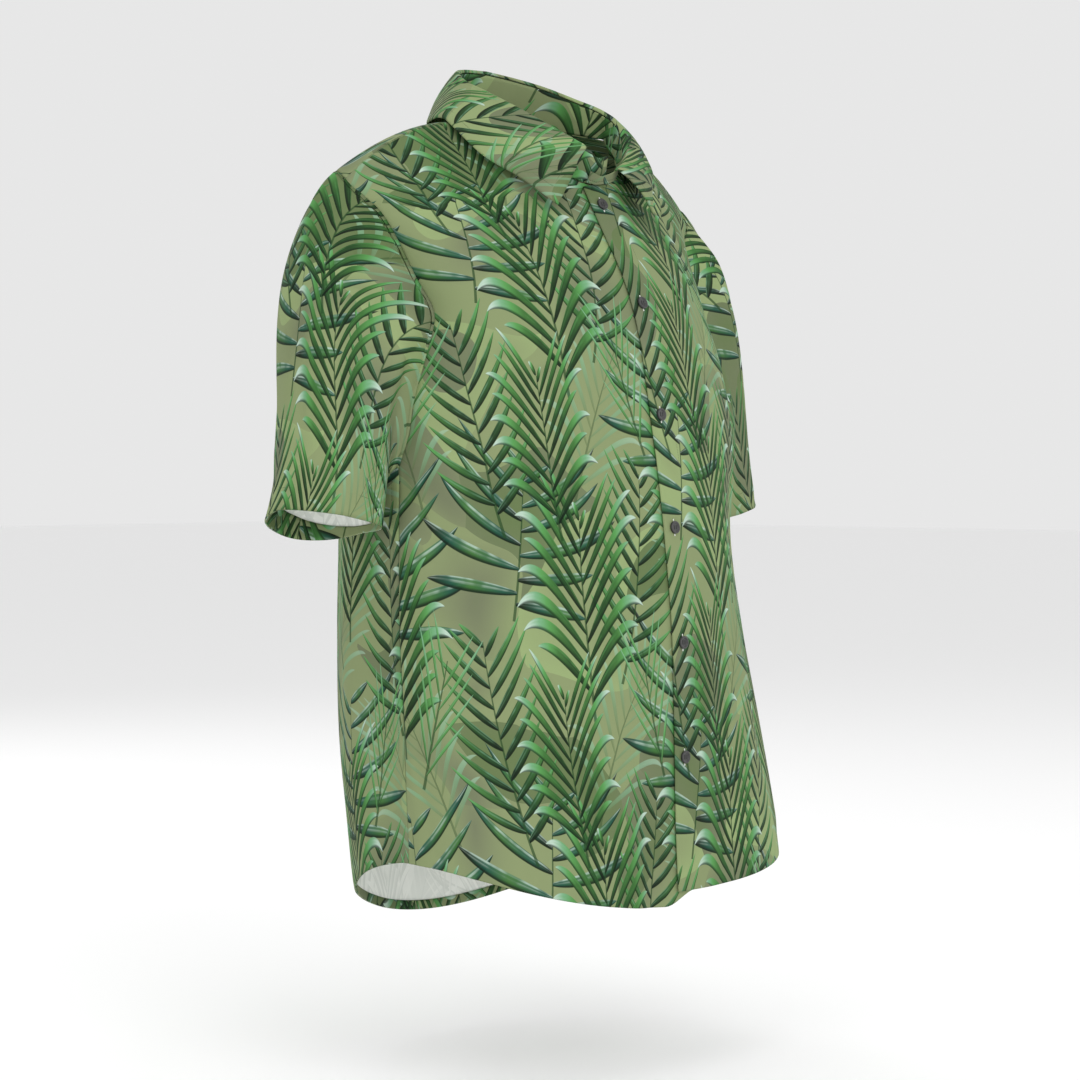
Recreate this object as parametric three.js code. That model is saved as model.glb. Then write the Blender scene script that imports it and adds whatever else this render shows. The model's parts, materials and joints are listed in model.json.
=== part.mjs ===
// A short-sleeved Hawaiian shirt in the hollow shape that it has when it is worn.
// Millimetres. +Z is up, +X is the wearer's left and the front looks along -Y.
// The origin lies midway between the two points where the shoulder seams meet the collar.
import * as THREE from "three";

// Driving sizes
const CLOTH = 1.4;
const SEAM_GAP = 0.3;
const LAYER_GAP = 0.4;
const UNDERARM_CLEAR = 1.9;
const HALF_LAP = 16.5;
const PLACKET_WALL = 2.0;
const PLACKET_EDGE = 15.5;
const LAP_COLUMNS = [HALF_LAP / 2, HALF_LAP];
const FRONT_LIFT = 2.2;
const LIFT_REACH = 45;
const HEM_WALL = 1.0;
const BODY_HEM = 9;
const SLEEVE_HEM = 20;
const HEM_DROP = { right: 47, left: 34, back: 80 };
const HEM_CURVE = { right: 1.6, left: 0.85, back: 1.7 };
// Where the right front's hem climbs to the placket that it runs on under.
const HEM_CLIMB = { from: -0.03, to: 0.09 };
const SHOULDER_RISE = { right: 1, left: 0.6 };
const BUTTON = { count: 6, radius: 5.8, thick: 2.2, x: -3.5, top: -84, step: 103.5, sides: 16 };
const COLLAR_WALL = 1.8;
const STAND_TURN = 3;
const STAND_SEAT = 1.2;

// Mesh density
const ACROSS = 12;
const LOWER_STEPS = 8;
const UPPER_STEPS = 8;
const NECK_STEPS = 4;
const SLEEVE_STEPS = 8;
const COLLAR_STEPS = 16;

const FINISH = {
  cloth: { color: 0x7d8f68, roughness: 0.62, metalness: 0.0 },
  turned: { color: 0x6f8260, roughness: 0.66, metalness: 0.0 },
  button: { color: 0x35302f, roughness: 0.35, metalness: 0.0 },
};

// A short table: the first string names the columns, and each list is one row.
function table(names, rows) {
  const keys = names.split(" ");
  return rows.map((row) => Object.fromEntries(keys.map((key, i) => [key, row[i]])));
}

// One row of a half panel runs from its centre line or neck edge (in) to its side seam or armhole
// (out). full is the fullness of the curve between them: 1 is straight and 2 a quarter ellipse.
// rise lifts the middle of the row.
const FRONT_ROWS = table("inX inY inZ outX outY outZ full rise", [
  [0, -175, -674, 227, -40, -674, 2.6, 0],
  [0, -172, -620, 226, -36, -620, 2.3, 0],
  [0, -170.5, -550, 222, -29, -550, 2.0, 0],
  [0, -168, -470, 214, -17, -470, 1.82, 0],
  [0, -161, -400, 208, -11, -400, 1.78, 0],
  [0, -154.5, -350, 210, -13, -352, 1.8, 0],
  [0, -150, -320, 217, -19, -324, 1.8, 0],
  [0, -144.5, -290, 213, -27, -296, 1.85, 0],
  [0, -138.5, -255, 204, -26, -262, 1.9, 0],
  [0, -131, -215, 188, -27, -218, 1.95, 0],
  [0, -121, -178, 177, -24, -186, 1.95, 0],
  [0, -106, -143, 186, -10, -154, 1.85, 0],
  [0, -86, -108, 198, 0, -122, 1.65, 0],
  [0, -62, -64, 212, 7, -98, 1.45, 0],
  [30, -56, -57, 225, 14, -85, 1.3, 3],
  [58, -38, -38, 231, 21, -77, 1.15, 9],
  [79, -4, -11, 236, 28, -67, 1.0, 22],
]);
const BACK_ROWS = table("inX inY inZ outX outY outZ full rise", [
  [0, 140, -674, 227, -40, -674, 2.05, 0],
  [0, 147, -620, 226, -36, -620, 2.15, 0],
  [0, 153.5, -550, 222, -29, -550, 2.35, 0],
  [0, 159, -470, 214, -17, -470, 2.4, 0],
  [0, 162, -400, 208, -11, -400, 2.4, 0],
  [0, 162, -350, 210, -13, -352, 2.4, 0],
  [0, 162, -320, 217, -19, -324, 2.4, 0],
  [0, 162, -285, 218, 14, -310, 2.3, 0],
  [0, 161, -240, 214, 52, -278, 2.2, 0],
  [0, 158, -195, 205, 80, -234, 2.1, 0],
  [0, 152, -150, 201, 93, -190, 2.0, 0],
  [0, 141, -105, 207, 91, -148, 1.85, 0],
  [0, 124, -60, 215, 80, -114, 1.7, 0],
  [0, 105, -20, 222, 68, -92, 1.5, 0],
  [0, 88, 3, 227, 59, -79, 1.35, 0],
  [40, 81, 2, 230, 53, -71, 1.2, 2],
  [65, 62, -1, 232, 47, -65, 1.08, 5],
  [76, 36, -3, 233, 41, -59, 1.0, 12],
  [79, -4, -11, 236, 28, -67, 1.0, 22],
]);
// Broad folds of the worn cloth, on the body laid flat: around is millimetres from the centre
// front, plus to the wearer's left, and a height below 0 is a trough.
const HALF_GIRTH = 600;
const FOLDS = table("fromAround fromZ toAround toZ width height", [
  [-262, -370, -236, -640, 30, 5],
  [-338, -390, -330, -650, 28, -6],
  [268, -380, 238, -650, 30, 4],
  [342, -400, 328, -640, 28, -6],
  [-485, -300, -458, -690, 34, 3.5],
  [462, -330, 490, -680, 30, 5],
  [-225, -262, -165, -345, 30, -3.5],
  [236, -270, 178, -330, 28, -3],
]);
const ARMPIT_ROW = 6;
const HEM_FADE_ROW = 3;
const NECK_ROW = { front: 13, back: 14 };

// The open end of a sleeve: an oval that reaches further out than in, lower at the back and
// beside the body.
const CUFF = { x: 260, y: 22, z: -375, outward: 64, inward: 42, deep: 50 };
const CUFF_RISE = { outward: 14, inward: 8, front: 3, back: -13 };
// How the sleeve's cloth leaves the armhole, from its top (0) to its underarm (1): a direction,
// and how far the armhole and the cuff each steer it.
const SLEEVE_FLOW = {
  front: table("turn outX outY outZ leave arrive slant", [
    [0, 0.84, 0, -0.54, 92, 106, 0.4],
    [0.22, 0.88, -0.42, -0.08, 134, 94, 0.44],
    [0.5, 0.85, -0.42, -0.35, 84, 84, 0.28],
    [1, 0.5, 0, -0.85, 14, 26, 0.1],
  ]),
  back: table("turn outX outY outZ leave arrive slant", [
    [0, 0.84, 0, -0.54, 92, 106, 0.4],
    [0.22, 0.84, 0.08, -0.42, 94, 110, 0.42],
    [0.5, 0.8, 0.1, -0.5, 62, 90, 0.3],
    [1, 0.5, 0, -0.85, 14, 26, 0.1],
  ]),
};

// The collar by stations from the centre back (0) to the centre front (1): the roll line that it
// turns over at, and the outer edge of the fall.
const ROLL_LINE = table("at x y z", [
  [0, 0, 73, 53],
  [0.13, 34, 69, 51],
  [0.27, 59, 54, 45],
  [0.41, 76, 28, 33],
  [0.54, 79, 0, 21],
  [0.67, 70, -31, 4],
  [0.8, 48, -55, -15],
  [0.92, 20, -66, -29],
  [1, 0, -69, -36],
]);
const FALL_EDGE = table("at x y z", [
  [0, 0, 105, -8],
  [0.13, 43, 100, -12],
  [0.27, 78, 78, -5],
  [0.41, 104, 53, -5],
  [0.5, 121, 25, -4],
  [0.55, 127, 9, -7],
  [0.6, 129, -7, -18],
  [0.72, 119, -33, -43],
  [0.86, 93, -54, -62],
  [1, 68, -77, -86],
]);
// How much lower the left half of the roll line sits.
const ROLL_LEAN = 4;
const FALL_END = 0.92;
// The fall's turn at the roll line, outward and up from the top of the stand.
const FALL_TURN = table("out up", [
  [0, 0.9],
  [0.5, 2.4],
  [2.6, 3.6],
  [4.8, 2.6],
]);
const FALL_STEPS = 5;
const FALL_BULGE = 4;

// Smooth value of a column of a table at a place between its rows. Past a corner row the curve
// starts afresh.
function smooth(rows, key, place, { at = null, corner = -1 } = {}) {
  const position = (i) => (at ? rows[i][at] : i);
  let row = 0;
  while (row < rows.length - 2 && place > position(row + 1)) {
    row += 1;
  }
  const slope = (i) => {
    const first = i === corner && row >= corner ? i : Math.max(i - 1, 0);
    const last = i === corner && row < corner ? i : Math.min(i + 1, rows.length - 1);
    return (rows[last][key] - rows[first][key]) / (position(last) - position(first));
  };
  const span = position(row + 1) - position(row);
  const t = (place - position(row)) / span;
  const t2 = t * t;
  const t3 = t2 * t;
  return (2 * t3 - 3 * t2 + 1) * rows[row][key] + (t3 - 2 * t2 + t) * span * slope(row)
    + (3 * t2 - 2 * t3) * rows[row + 1][key] + (t3 - t2) * span * slope(row + 1);
}

function eased(value) {
  const t = Math.min(Math.max(value, 0), 1);
  return t * t * (3 - 2 * t);
}

function foldHeight(around, z) {
  let height = 0;
  for (const fold of FOLDS) {
    const turns = Math.round((around - fold.fromAround) / (2 * HALF_GIRTH));
    const fromStart = around - fold.fromAround - turns * 2 * HALF_GIRTH;
    const run = fold.toAround - fold.fromAround;
    const fall = fold.toZ - fold.fromZ;
    const part = (fromStart * run + (z - fold.fromZ) * fall) / (run * run + fall * fall);
    const near = Math.min(Math.max(part, 0), 1);
    const off = Math.hypot(fromStart - near * run, z - fold.fromZ - near * fall);
    height += fold.height * Math.exp(-Math.pow(off / fold.width, 2));
  }
  return height;
}

// A bare point of the body's form. half is front or back, side is -1 on the wearer's right and 1
// on the left, across runs from 0 at the centre to 1 at the side seam or armhole, and may go
// past the centre, and row is a place in the half's table.
function formPoint(half, side, across, row) {
  const rows = half === "front" ? FRONT_ROWS : BACK_ROWS;
  const inner = (key) => smooth(rows, key, row, { corner: NECK_ROW[half] });
  const outer = (key) => smooth(rows, key, row, { corner: ARMPIT_ROW });
  const reach = Math.sin(across * Math.PI / 2);
  const level = Math.abs(reach);
  const full = Math.max(smooth(rows, "full", row), 1);
  const bow = Math.pow(Math.max(1 - Math.pow(level, full), 0), 1 / full);
  const x = inner("inX") + (outer("outX") - inner("inX")) * reach;
  const y = outer("outY") + (inner("inY") - outer("outY")) * bow;
  const rise = smooth(rows, "rise", row) * 4 * level * (1 - level)
    * (side < 0 ? SHOULDER_RISE.right : SHOULDER_RISE.left);
  let z = inner("inZ") + (outer("outZ") - inner("inZ")) * level + rise;
  if (row < HEM_FADE_ROW) {
    const climb = side < 0 ? (across - HEM_CLIMB.from) / (HEM_CLIMB.to - HEM_CLIMB.from) : 0;
    const frontDrop = HEM_DROP.left + (HEM_DROP.right - HEM_DROP.left) * eased(climb);
    const drop = half === "back" ? HEM_DROP.back : frontDrop;
    const frontCurve = side < 0 ? HEM_CURVE.right : HEM_CURVE.left;
    const power = half === "back" ? HEM_CURVE.back : frontCurve;
    const curve = Math.pow(Math.max(Math.cos(across * Math.PI / 2), 0), power);
    z -= drop * curve * (1 - row / HEM_FADE_ROW);
  }
  const along = across * HALF_GIRTH / 2;
  const fold = foldHeight(side * (half === "front" ? along : HALF_GIRTH - along), z);
  const away = Math.hypot(x, y);
  return new THREE.Vector3(side * x * (1 + fold / away), y * (1 + fold / away), z);
}

// The outward unit normal of the form. Where two halves meet, it is the mean of theirs.
function formNormal(half, side, across, row) {
  const lastRow = (half === "front" ? FRONT_ROWS : BACK_ROWS).length - 1;
  const along = formPoint(half, side, Math.min(across + 0.01, 1), row)
    .sub(formPoint(half, side, across - 0.01, row));
  const up = formPoint(half, side, across, Math.min(row + 0.05, lastRow))
    .sub(formPoint(half, side, across, Math.max(row - 0.05, 0)));
  const normal = along.cross(up).normalize();
  return (half === "front") === (side > 0) ? normal : normal.negate();
}

function sharedNormal(half, side, across, row) {
  const normal = formNormal(half, side, across, row);
  const other = half === "front" ? "back" : "front";
  const lastRow = (half === "front" ? FRONT_ROWS : BACK_ROWS).length - 1;
  if (row === lastRow) {
    const otherLast = (other === "front" ? FRONT_ROWS : BACK_ROWS).length - 1;
    normal.add(formNormal(other, side, across, otherLast)).normalize();
  } else if (across === 1 && row <= ARMPIT_ROW) {
    normal.add(formNormal(other, side, across, row)).normalize();
  }
  return normal;
}

// The place across a row at a given distance from the centre line.
function acrossAt(half, x, row) {
  const rows = half === "front" ? FRONT_ROWS : BACK_ROWS;
  const inX = smooth(rows, "inX", row, { corner: NECK_ROW[half] });
  const outX = smooth(rows, "outX", row, { corner: ARMPIT_ROW });
  return Math.asin((x - inX) / (outX - inX)) * 2 / Math.PI;
}

// The row that the top of the turned hem lies on.
function hemRowAt(half, side, across) {
  const hem = formPoint(half, side, across, 0);
  return BODY_HEM / hem.distanceTo(formPoint(half, side, across, 1));
}

function spaced(from, to, steps) {
  return Array.from({ length: steps + 1 }, (unused, i) => from + (to - from) * i / steps);
}

// Rows of the mesh from the hem up. The second one is the top of the turned hem.
function upperRows(half) {
  const lastRow = (half === "front" ? FRONT_ROWS : BACK_ROWS).length - 1;
  const neck = NECK_ROW[half];
  return [...spaced(ARMPIT_ROW, neck, UPPER_STEPS), ...spaced(neck, lastRow, NECK_STEPS).slice(1)];
}

function meshRows(half) {
  return [0, "hem", ...spaced(0, ARMPIT_ROW, LOWER_STEPS).slice(1, -1), ...upperRows(half)];
}

// How far the left front stands out over the right one beside the placket.
function frontLift(x) {
  return FRONT_LIFT * Math.exp(-Math.pow((x - PLACKET_EDGE) / LIFT_REACH, 2));
}

// A grid of paired points, one on each face of a wall, over places on the form. placesIn gives
// the places across of a row, out and thick say how far the outer face stands off and the
// wall's thickness.
function formPatch(half, side, rows, placesIn, out, thick) {
  return rows.map((rowName) => {
    const plainRow = rowName === "hem" ? 0 : rowName;
    return placesIn(plainRow).map((place) => {
      const across = place.across;
      const row = rowName === "hem" ? hemRowAt(half, side, across) : place.row;
      const point = formPoint(half, side, across, row);
      const normal = sharedNormal(half, side, across, row);
      const stand = typeof out === "function" ? out(Math.abs(point.x)) : out;
      return {
        outer: point.clone().addScaledVector(normal, stand),
        inner: point.clone().addScaledVector(normal, stand - thick),
      };
    });
  });
}

// Pulls a border of a patch back from its seam.
function pullBack(patch, border, distance) {
  const last = patch.length - 1;
  const end = patch[0].length - 1;
  const move = (pair, neighbour) => {
    const step = neighbour.outer.clone().sub(pair.outer).setLength(distance);
    pair.outer.add(step);
    pair.inner.add(step);
  };
  if (border === "first" || border === "last") {
    const [edge, next] = border === "first" ? [0, 1] : [end, end - 1];
    patch.forEach((line) => move(line[edge], line[next]));
  } else {
    patch[last].forEach((pair, j) => move(pair, patch[last - 1][j]));
  }
  return patch;
}

// One closed wall from patches of paired points. Points that coincide are welded, and the open
// borders are closed between the two faces. A ring's patch joins its last column to its first.
function closedWall(patches, ring = false) {
  const pairs = [];
  const found = new Map();
  const idOf = (pair) => {
    const key = pair.outer.toArray().map((value) => Math.round(value * 1000)).join(" ");
    if (!found.has(key)) {
      found.set(key, pairs.length);
      pairs.push(pair);
    }
    return found.get(key);
  };
  const triangles = [];
  for (const { patch, turned } of patches) {
    const ids = patch.map((line) => line.map(idOf));
    const columns = ring ? ids[0].length : ids[0].length - 1;
    for (let i = 0; i < ids.length - 1; i += 1) {
      for (let j = 0; j < columns; j += 1) {
        const next = (j + 1) % ids[0].length;
        const corners = [ids[i][j], ids[i][next], ids[i + 1][next], ids[i + 1][j]];
        const [a, b, c, d] = turned ? corners.reverse() : corners;
        triangles.push([a, b, c], [a, c, d]);
      }
    }
  }
  const faces = triangles.filter(([a, b, c]) => a !== b && b !== c && c !== a);
  const edges = new Set(faces.flatMap(([a, b, c]) => [`${a} ${b}`, `${b} ${c}`, `${c} ${a}`]));
  const count = pairs.length;
  const index = [];
  for (const [a, b, c] of faces) {
    index.push(a, b, c, a + count, c + count, b + count);
    for (const [from, to] of [[a, b], [b, c], [c, a]]) {
      if (!edges.has(`${to} ${from}`)) {
        index.push(to, from, from + count, to, from + count, to + count);
      }
    }
  }
  const points = [...pairs.map((pair) => pair.outer), ...pairs.map((pair) => pair.inner)];
  let volume = 0;
  for (let i = 0; i < index.length; i += 3) {
    const [a, b, c] = index.slice(i, i + 3).map((id) => points[id]);
    volume += a.dot(b.clone().cross(c));
  }
  if (volume < 0) {
    index.reverse();
  }
  const geometry = new THREE.BufferGeometry();
  geometry.setAttribute("position", new THREE.Float32BufferAttribute(
    points.flatMap((point) => point.toArray()), 3));
  geometry.setIndex(index);
  return geometry;
}

const shirt = new THREE.Group();

function addPiece(name, geometry, finish) {
  geometry.computeVertexNormals();
  const mesh = new THREE.Mesh(geometry, new THREE.MeshStandardMaterial(FINISH[finish]));
  mesh.name = name;
  shirt.add(mesh);
  return mesh;
}

const SIDES = [
  { side: -1, hand: "right" },
  { side: 1, hand: "left" },
];

// Places across a row, from a distance from the centre line to the seam at the side. edges are
// distances where the mesh has a column, so that layers on it keep its facets.
function placesFrom(half, startX, row, edges = []) {
  const inX = smooth(half === "front" ? FRONT_ROWS : BACK_ROWS, "inX", row,
    { corner: NECK_ROW[half] });
  const start = startX > inX ? acrossAt(half, startX, row) : 0;
  if (row > NECK_ROW[half] || edges.length === 0) {
    return spaced(start, 1, ACROSS).map((across) => ({ across, row }));
  }
  const near = edges.map((x) => acrossAt(half, x, row));
  const far = spaced(near[near.length - 1], 1, ACROSS - edges.length).slice(1);
  return [start, ...near, ...far].map((across) => ({ across, row }));
}

function stripPlaces(columns, row) {
  return columns.map((x) => ({ across: acrossAt("front", x, row), row }));
}

// The right front and the strip of it that runs on under the placket.
function addRightFront() {
  const rows = meshRows("front");
  const panel = formPatch("front", -1, rows, (row) => placesFrom("front", 0, row, LAP_COLUMNS), 0, CLOTH);
  pullBack(panel, "last", SEAM_GAP / 2);
  pullBack(panel, "top", SEAM_GAP / 2);
  const stripRows = rows.filter((row) => row === "hem" || row <= NECK_ROW.front);
  const strip = formPatch("front", -1, stripRows,
    (row) => stripPlaces([...LAP_COLUMNS.map((x) => -x).reverse(), 0], row), 0, CLOTH);
  addPiece("front_right", closedWall([
    { patch: panel, turned: true },
    { patch: strip, turned: true },
  ]), "cloth");
}

function addLeftFront() {
  const start = PLACKET_EDGE + SEAM_GAP;
  const panel = formPatch("front", 1, meshRows("front"),
    (row) => placesFrom("front", start, row), frontLift, CLOTH);
  pullBack(panel, "last", SEAM_GAP / 2);
  pullBack(panel, "top", SEAM_GAP / 2);
  addPiece("front_left", closedWall([{ patch: panel, turned: false }]), "cloth");
}

function addPlacket() {
  const rows = meshRows("front").filter((row) => row === "hem" || row <= NECK_ROW.front);
  const strip = formPatch("front", 1, rows,
    (row) => stripPlaces([...LAP_COLUMNS.map((x) => -x).reverse(), 0, HALF_LAP / 2, PLACKET_EDGE], row),
    LAYER_GAP + PLACKET_WALL, PLACKET_WALL);
  addPiece("placket", closedWall([{ patch: strip, turned: false }]), "cloth");
}

function addBack() {
  const patches = SIDES.map(({ side }) => {
    const panel = formPatch("back", side, meshRows("back"),
      (row) => placesFrom("back", 0, row), 0, CLOTH);
    pullBack(panel, "last", SEAM_GAP / 2);
    pullBack(panel, "top", SEAM_GAP / 2);
    return { patch: panel, turned: side > 0 };
  });
  addPiece("back", closedWall(patches), "cloth");
}

// Turned hems lie inside their panels.
function addBodyHems() {
  const inside = -CLOTH - LAYER_GAP;
  const hemOf = (half, side, startX, out, edges) => {
    const patch = formPatch(half, side, [0, "hem"], (row) => placesFrom(half, startX, row, edges),
      out, HEM_WALL);
    pullBack(patch, "last", SEAM_GAP);
    return patch;
  };
  const rightHem = { patch: hemOf("front", -1, 0, inside, LAP_COLUMNS), turned: true };
  addPiece("hem_front_right", closedWall([rightHem]), "turned");
  const leftStart = HALF_LAP + 4;
  const leftOut = (x) => inside + frontLift(x);
  const leftHem = { patch: hemOf("front", 1, leftStart, leftOut), turned: false };
  addPiece("hem_front_left", closedWall([leftHem]), "turned");
  const backHems = SIDES.map(({ side }) => ({
    patch: hemOf("back", side, 0, inside),
    turned: side > 0,
  }));
  addPiece("hem_back", closedWall(backHems), "turned");
}

// The armhole's points from the underarm up the front to the shoulder and down the back.
function armhole(side) {
  const along = (half, rows) => rows.map((row) => (
    { edge: formPoint(half, side, 1, row), normal: sharedNormal(half, side, 1, row), half }
  ));
  const front = along("front", upperRows("front"));
  const back = along("back", upperRows("back"));
  const loop = [...front, ...back.slice(1, -1).reverse()];
  const shoulder = front.length - 1;
  const lengths = [0];
  for (let i = 1; i <= loop.length; i += 1) {
    lengths.push(lengths[i - 1] + loop[i % loop.length].edge.distanceTo(loop[i - 1].edge));
  }
  loop.forEach((point, i) => {
    const whole = i <= shoulder ? lengths[shoulder] : lengths[loop.length] - lengths[shoulder];
    point.turn = Math.abs(lengths[shoulder] - lengths[i]) / whole;
    const ahead = loop[(i + 1) % loop.length].edge;
    const behind = loop[(i - 1 + loop.length) % loop.length].edge;
    const run = ahead.clone().sub(behind);
    point.into = point.normal.clone().cross(run).multiplyScalar(side).normalize();
  });
  return loop;
}

// One lengthwise line of a sleeve, from its armhole point to the cuff.
function sleeveLine(side, point) {
  const front = point.half === "front" ? -1 : 1;
  const angle = point.turn * Math.PI;
  const flow = (key) => smooth(SLEEVE_FLOW[point.half], key, point.turn, { at: "turn" });
  const start = point.edge.clone().addScaledVector(point.into, -SEAM_GAP)
    .addScaledVector(point.normal, UNDERARM_CLEAR * point.turn);
  const outer = point.turn < 0.5 ? "outward" : "inward";
  const facing = front < 0 ? "front" : "back";
  const end = new THREE.Vector3(
    side * (CUFF.x + CUFF[outer] * Math.cos(angle)),
    CUFF.y + front * CUFF.deep * Math.sin(angle),
    CUFF.z + CUFF_RISE[outer] * Math.cos(angle) + CUFF_RISE[facing] * Math.sin(angle));
  const leave = new THREE.Vector3(side * flow("outX"), flow("outY"), flow("outZ"));
  leave.addScaledVector(point.into, -Math.max(leave.dot(point.into), 0));
  const axis = new THREE.Vector3(side * flow("slant"), 0, -1);
  return new THREE.CubicBezierCurve3(
    start,
    start.clone().addScaledVector(leave.normalize(), flow("leave")),
    end.clone().addScaledVector(axis.normalize(), -flow("arrive")),
    end);
}

// Outward normals of a closed grid of sleeve points.
function ringNormals(grid, side) {
  return grid.map((line, i) => line.map((point, j) => {
    const up = grid[Math.max(i - 1, 0)][j];
    const down = grid[Math.min(i + 1, grid.length - 1)][j];
    const next = line[(j + 1) % line.length];
    const before = line[(j - 1 + line.length) % line.length];
    const normal = next.clone().sub(before).cross(down.clone().sub(up)).normalize();
    return side > 0 ? normal : normal.negate();
  }));
}

function addSleeve({ side, hand }) {
  const loop = armhole(side);
  const curves = loop.map((point) => sleeveLine(side, point));
  const hemAt = curves.map((curve) => 1 - SLEEVE_HEM / curve.getLength());
  const grid = spaced(0, 1, SLEEVE_STEPS - 1)
    .map((part) => curves.map((curve, j) => curve.getPoint(part * hemAt[j])));
  grid.push(curves.map((curve) => curve.getPoint(1)));
  const normals = ringNormals(grid, side);
  const patch = grid.map((line, i) => line.map((point, j) => {
    const inward = normals[i][j].clone().negate();
    if (i === 0) {
      const overlap = Math.max(inward.dot(loop[j].into), 0);
      inward.addScaledVector(loop[j].into, -overlap).normalize();
    }
    return { outer: point, inner: point.clone().addScaledVector(inward, CLOTH) };
  }));
  addPiece(`sleeve_${hand}`, closedWall([{ patch, turned: false }], true), "cloth");
  const hem = [SLEEVE_STEPS - 1, SLEEVE_STEPS].map((i) => grid[i].map((point, j) => ({
    outer: point.clone().addScaledVector(normals[i][j], -CLOTH - LAYER_GAP),
    inner: point.clone().addScaledVector(normals[i][j], -CLOTH - LAYER_GAP - HEM_WALL),
  })));
  addPiece(`sleeve_hem_${hand}`, closedWall([{ patch: hem, turned: false }], true), "turned");
}

// The neck edge of one side, from the centre back over the shoulder seam to the centre front.
function neckCurveOf(side) {
  const lastFront = FRONT_ROWS.length - 1;
  const lifted = (row) => {
    const point = formPoint("front", side, 0, row);
    const out = side > 0 ? frontLift(Math.abs(point.x)) : 0;
    return point.addScaledVector(formNormal("front", side, 0.02, row), out);
  };
  const points = [
    ...spaced(NECK_ROW.back, BACK_ROWS.length - 1, 12).map((row) => formPoint("back", side, 0, row)),
    ...spaced(lastFront, NECK_ROW.front, 12).slice(1).map(lifted),
  ];
  return new THREE.CatmullRomCurve3(points, false, "centripetal");
}

const NECK_CURVES = { right: neckCurveOf(-1), left: neckCurveOf(1) };

// How far the left end of the collar stands out over the right one.
function collarLift(side, at) {
  return side > 0 ? (LAYER_GAP + PLACKET_WALL) * eased((at - 0.74) / 0.2) : 0;
}

// A station of the collar: its base on the neck edge, its roll and the way out from the neck. Past
// the centre front (at 1) it runs on across the other side.
function collarStation(side, at) {
  const folded = at > 1 ? 2 - at : at;
  const hand = at > 1 ? -side : side;
  const roll = new THREE.Vector3(
    hand * smooth(ROLL_LINE, "x", folded, { at: "at" }),
    smooth(ROLL_LINE, "y", folded, { at: "at" }),
    smooth(ROLL_LINE, "z", folded, { at: "at" }));
  const ahead = Math.min(folded + 0.01, 1);
  const behind = Math.max(folded - 0.01, 0);
  const runX = smooth(ROLL_LINE, "x", ahead, { at: "at" }) - smooth(ROLL_LINE, "x", behind, { at: "at" });
  const runY = smooth(ROLL_LINE, "y", ahead, { at: "at" }) - smooth(ROLL_LINE, "y", behind, { at: "at" });
  const out = new THREE.Vector3(-hand * runY, runX, 0).normalize();
  const base = NECK_CURVES[hand < 0 ? "right" : "left"].getPointAt(folded);
  const lift = collarLift(side, at);
  roll.z -= hand > 0 ? ROLL_LEAN * Math.sin(folded * Math.PI) : 0;
  roll.addScaledVector(out, lift);
  base.addScaledVector(out, lift);
  const rising = roll.clone().sub(base).normalize();
  return { base: base.addScaledVector(rising, STAND_SEAT), roll, out, rising };
}

function addCollar() {
  const lapAt = 1 + 0.05;
  const stations = [
    ...spaced(lapAt, 0, COLLAR_STEPS + 1).map((at) => ({ side: -1, at })),
    ...spaced(0, lapAt, COLLAR_STEPS + 1).slice(1).map((at) => ({ side: 1, at })),
  ];
  const stand = [0, 0.5, 1].map((part) => stations.map(({ side, at }) => {
    const { base, roll, out, rising } = collarStation(side, at);
    const top = roll.clone().addScaledVector(rising, -STAND_TURN);
    const point = base.clone().lerp(top, part);
    return {
      outer: point.clone().addScaledVector(out, CLOTH / 2),
      inner: point.clone().addScaledVector(out, -CLOTH / 2),
    };
  }));
  addPiece("collar_stand", closedWall([{ patch: stand, turned: false }]), "cloth");

  const fallStations = [
    ...spaced(1, 0, COLLAR_STEPS).map((at) => ({ side: -1, at })),
    ...spaced(0, 1, COLLAR_STEPS).slice(1).map((at) => ({ side: 1, at })),
  ];
  const lines = fallStations.map(({ side, at }) => {
    const { roll, out, rising } = collarStation(side, at * FALL_END);
    const top = roll.clone().addScaledVector(rising, -STAND_TURN);
    const turn = FALL_TURN.map((row) => top.clone()
      .addScaledVector(out, row.out)
      .addScaledVector(rising, row.up));
    const edge = new THREE.Vector3(
      side * smooth(FALL_EDGE, "x", at, { at: "at" }),
      smooth(FALL_EDGE, "y", at, { at: "at" }),
      smooth(FALL_EDGE, "z", at, { at: "at" }));
    const from = turn[turn.length - 1];
    const away = out.clone().add(new THREE.Vector3(0, 0, 1)).normalize();
    const leaf = spaced(0, 1, FALL_STEPS).slice(1).map((part) => from.clone().lerp(edge, part)
      .addScaledVector(away, FALL_BULGE * 4 * part * (1 - part)));
    return [...turn, ...leaf];
  });
  const middle = lines[0].map((unused, i) => lines.map((line) => line[i]));
  const fall = middle.map((line, i) => line.map((point, j) => {
    const up = middle[Math.max(i - 1, 0)][j];
    const down = middle[Math.min(i + 1, middle.length - 1)][j];
    const next = line[Math.min(j + 1, line.length - 1)];
    const before = line[Math.max(j - 1, 0)];
    const normal = next.clone().sub(before).cross(down.clone().sub(up)).normalize();
    return {
      outer: point.clone().addScaledVector(normal, COLLAR_WALL / 2),
      inner: point.clone().addScaledVector(normal, -COLLAR_WALL / 2),
    };
  }));
  addPiece("collar_fall", closedWall([{ patch: fall, turned: false }]), "cloth");
}

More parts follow.
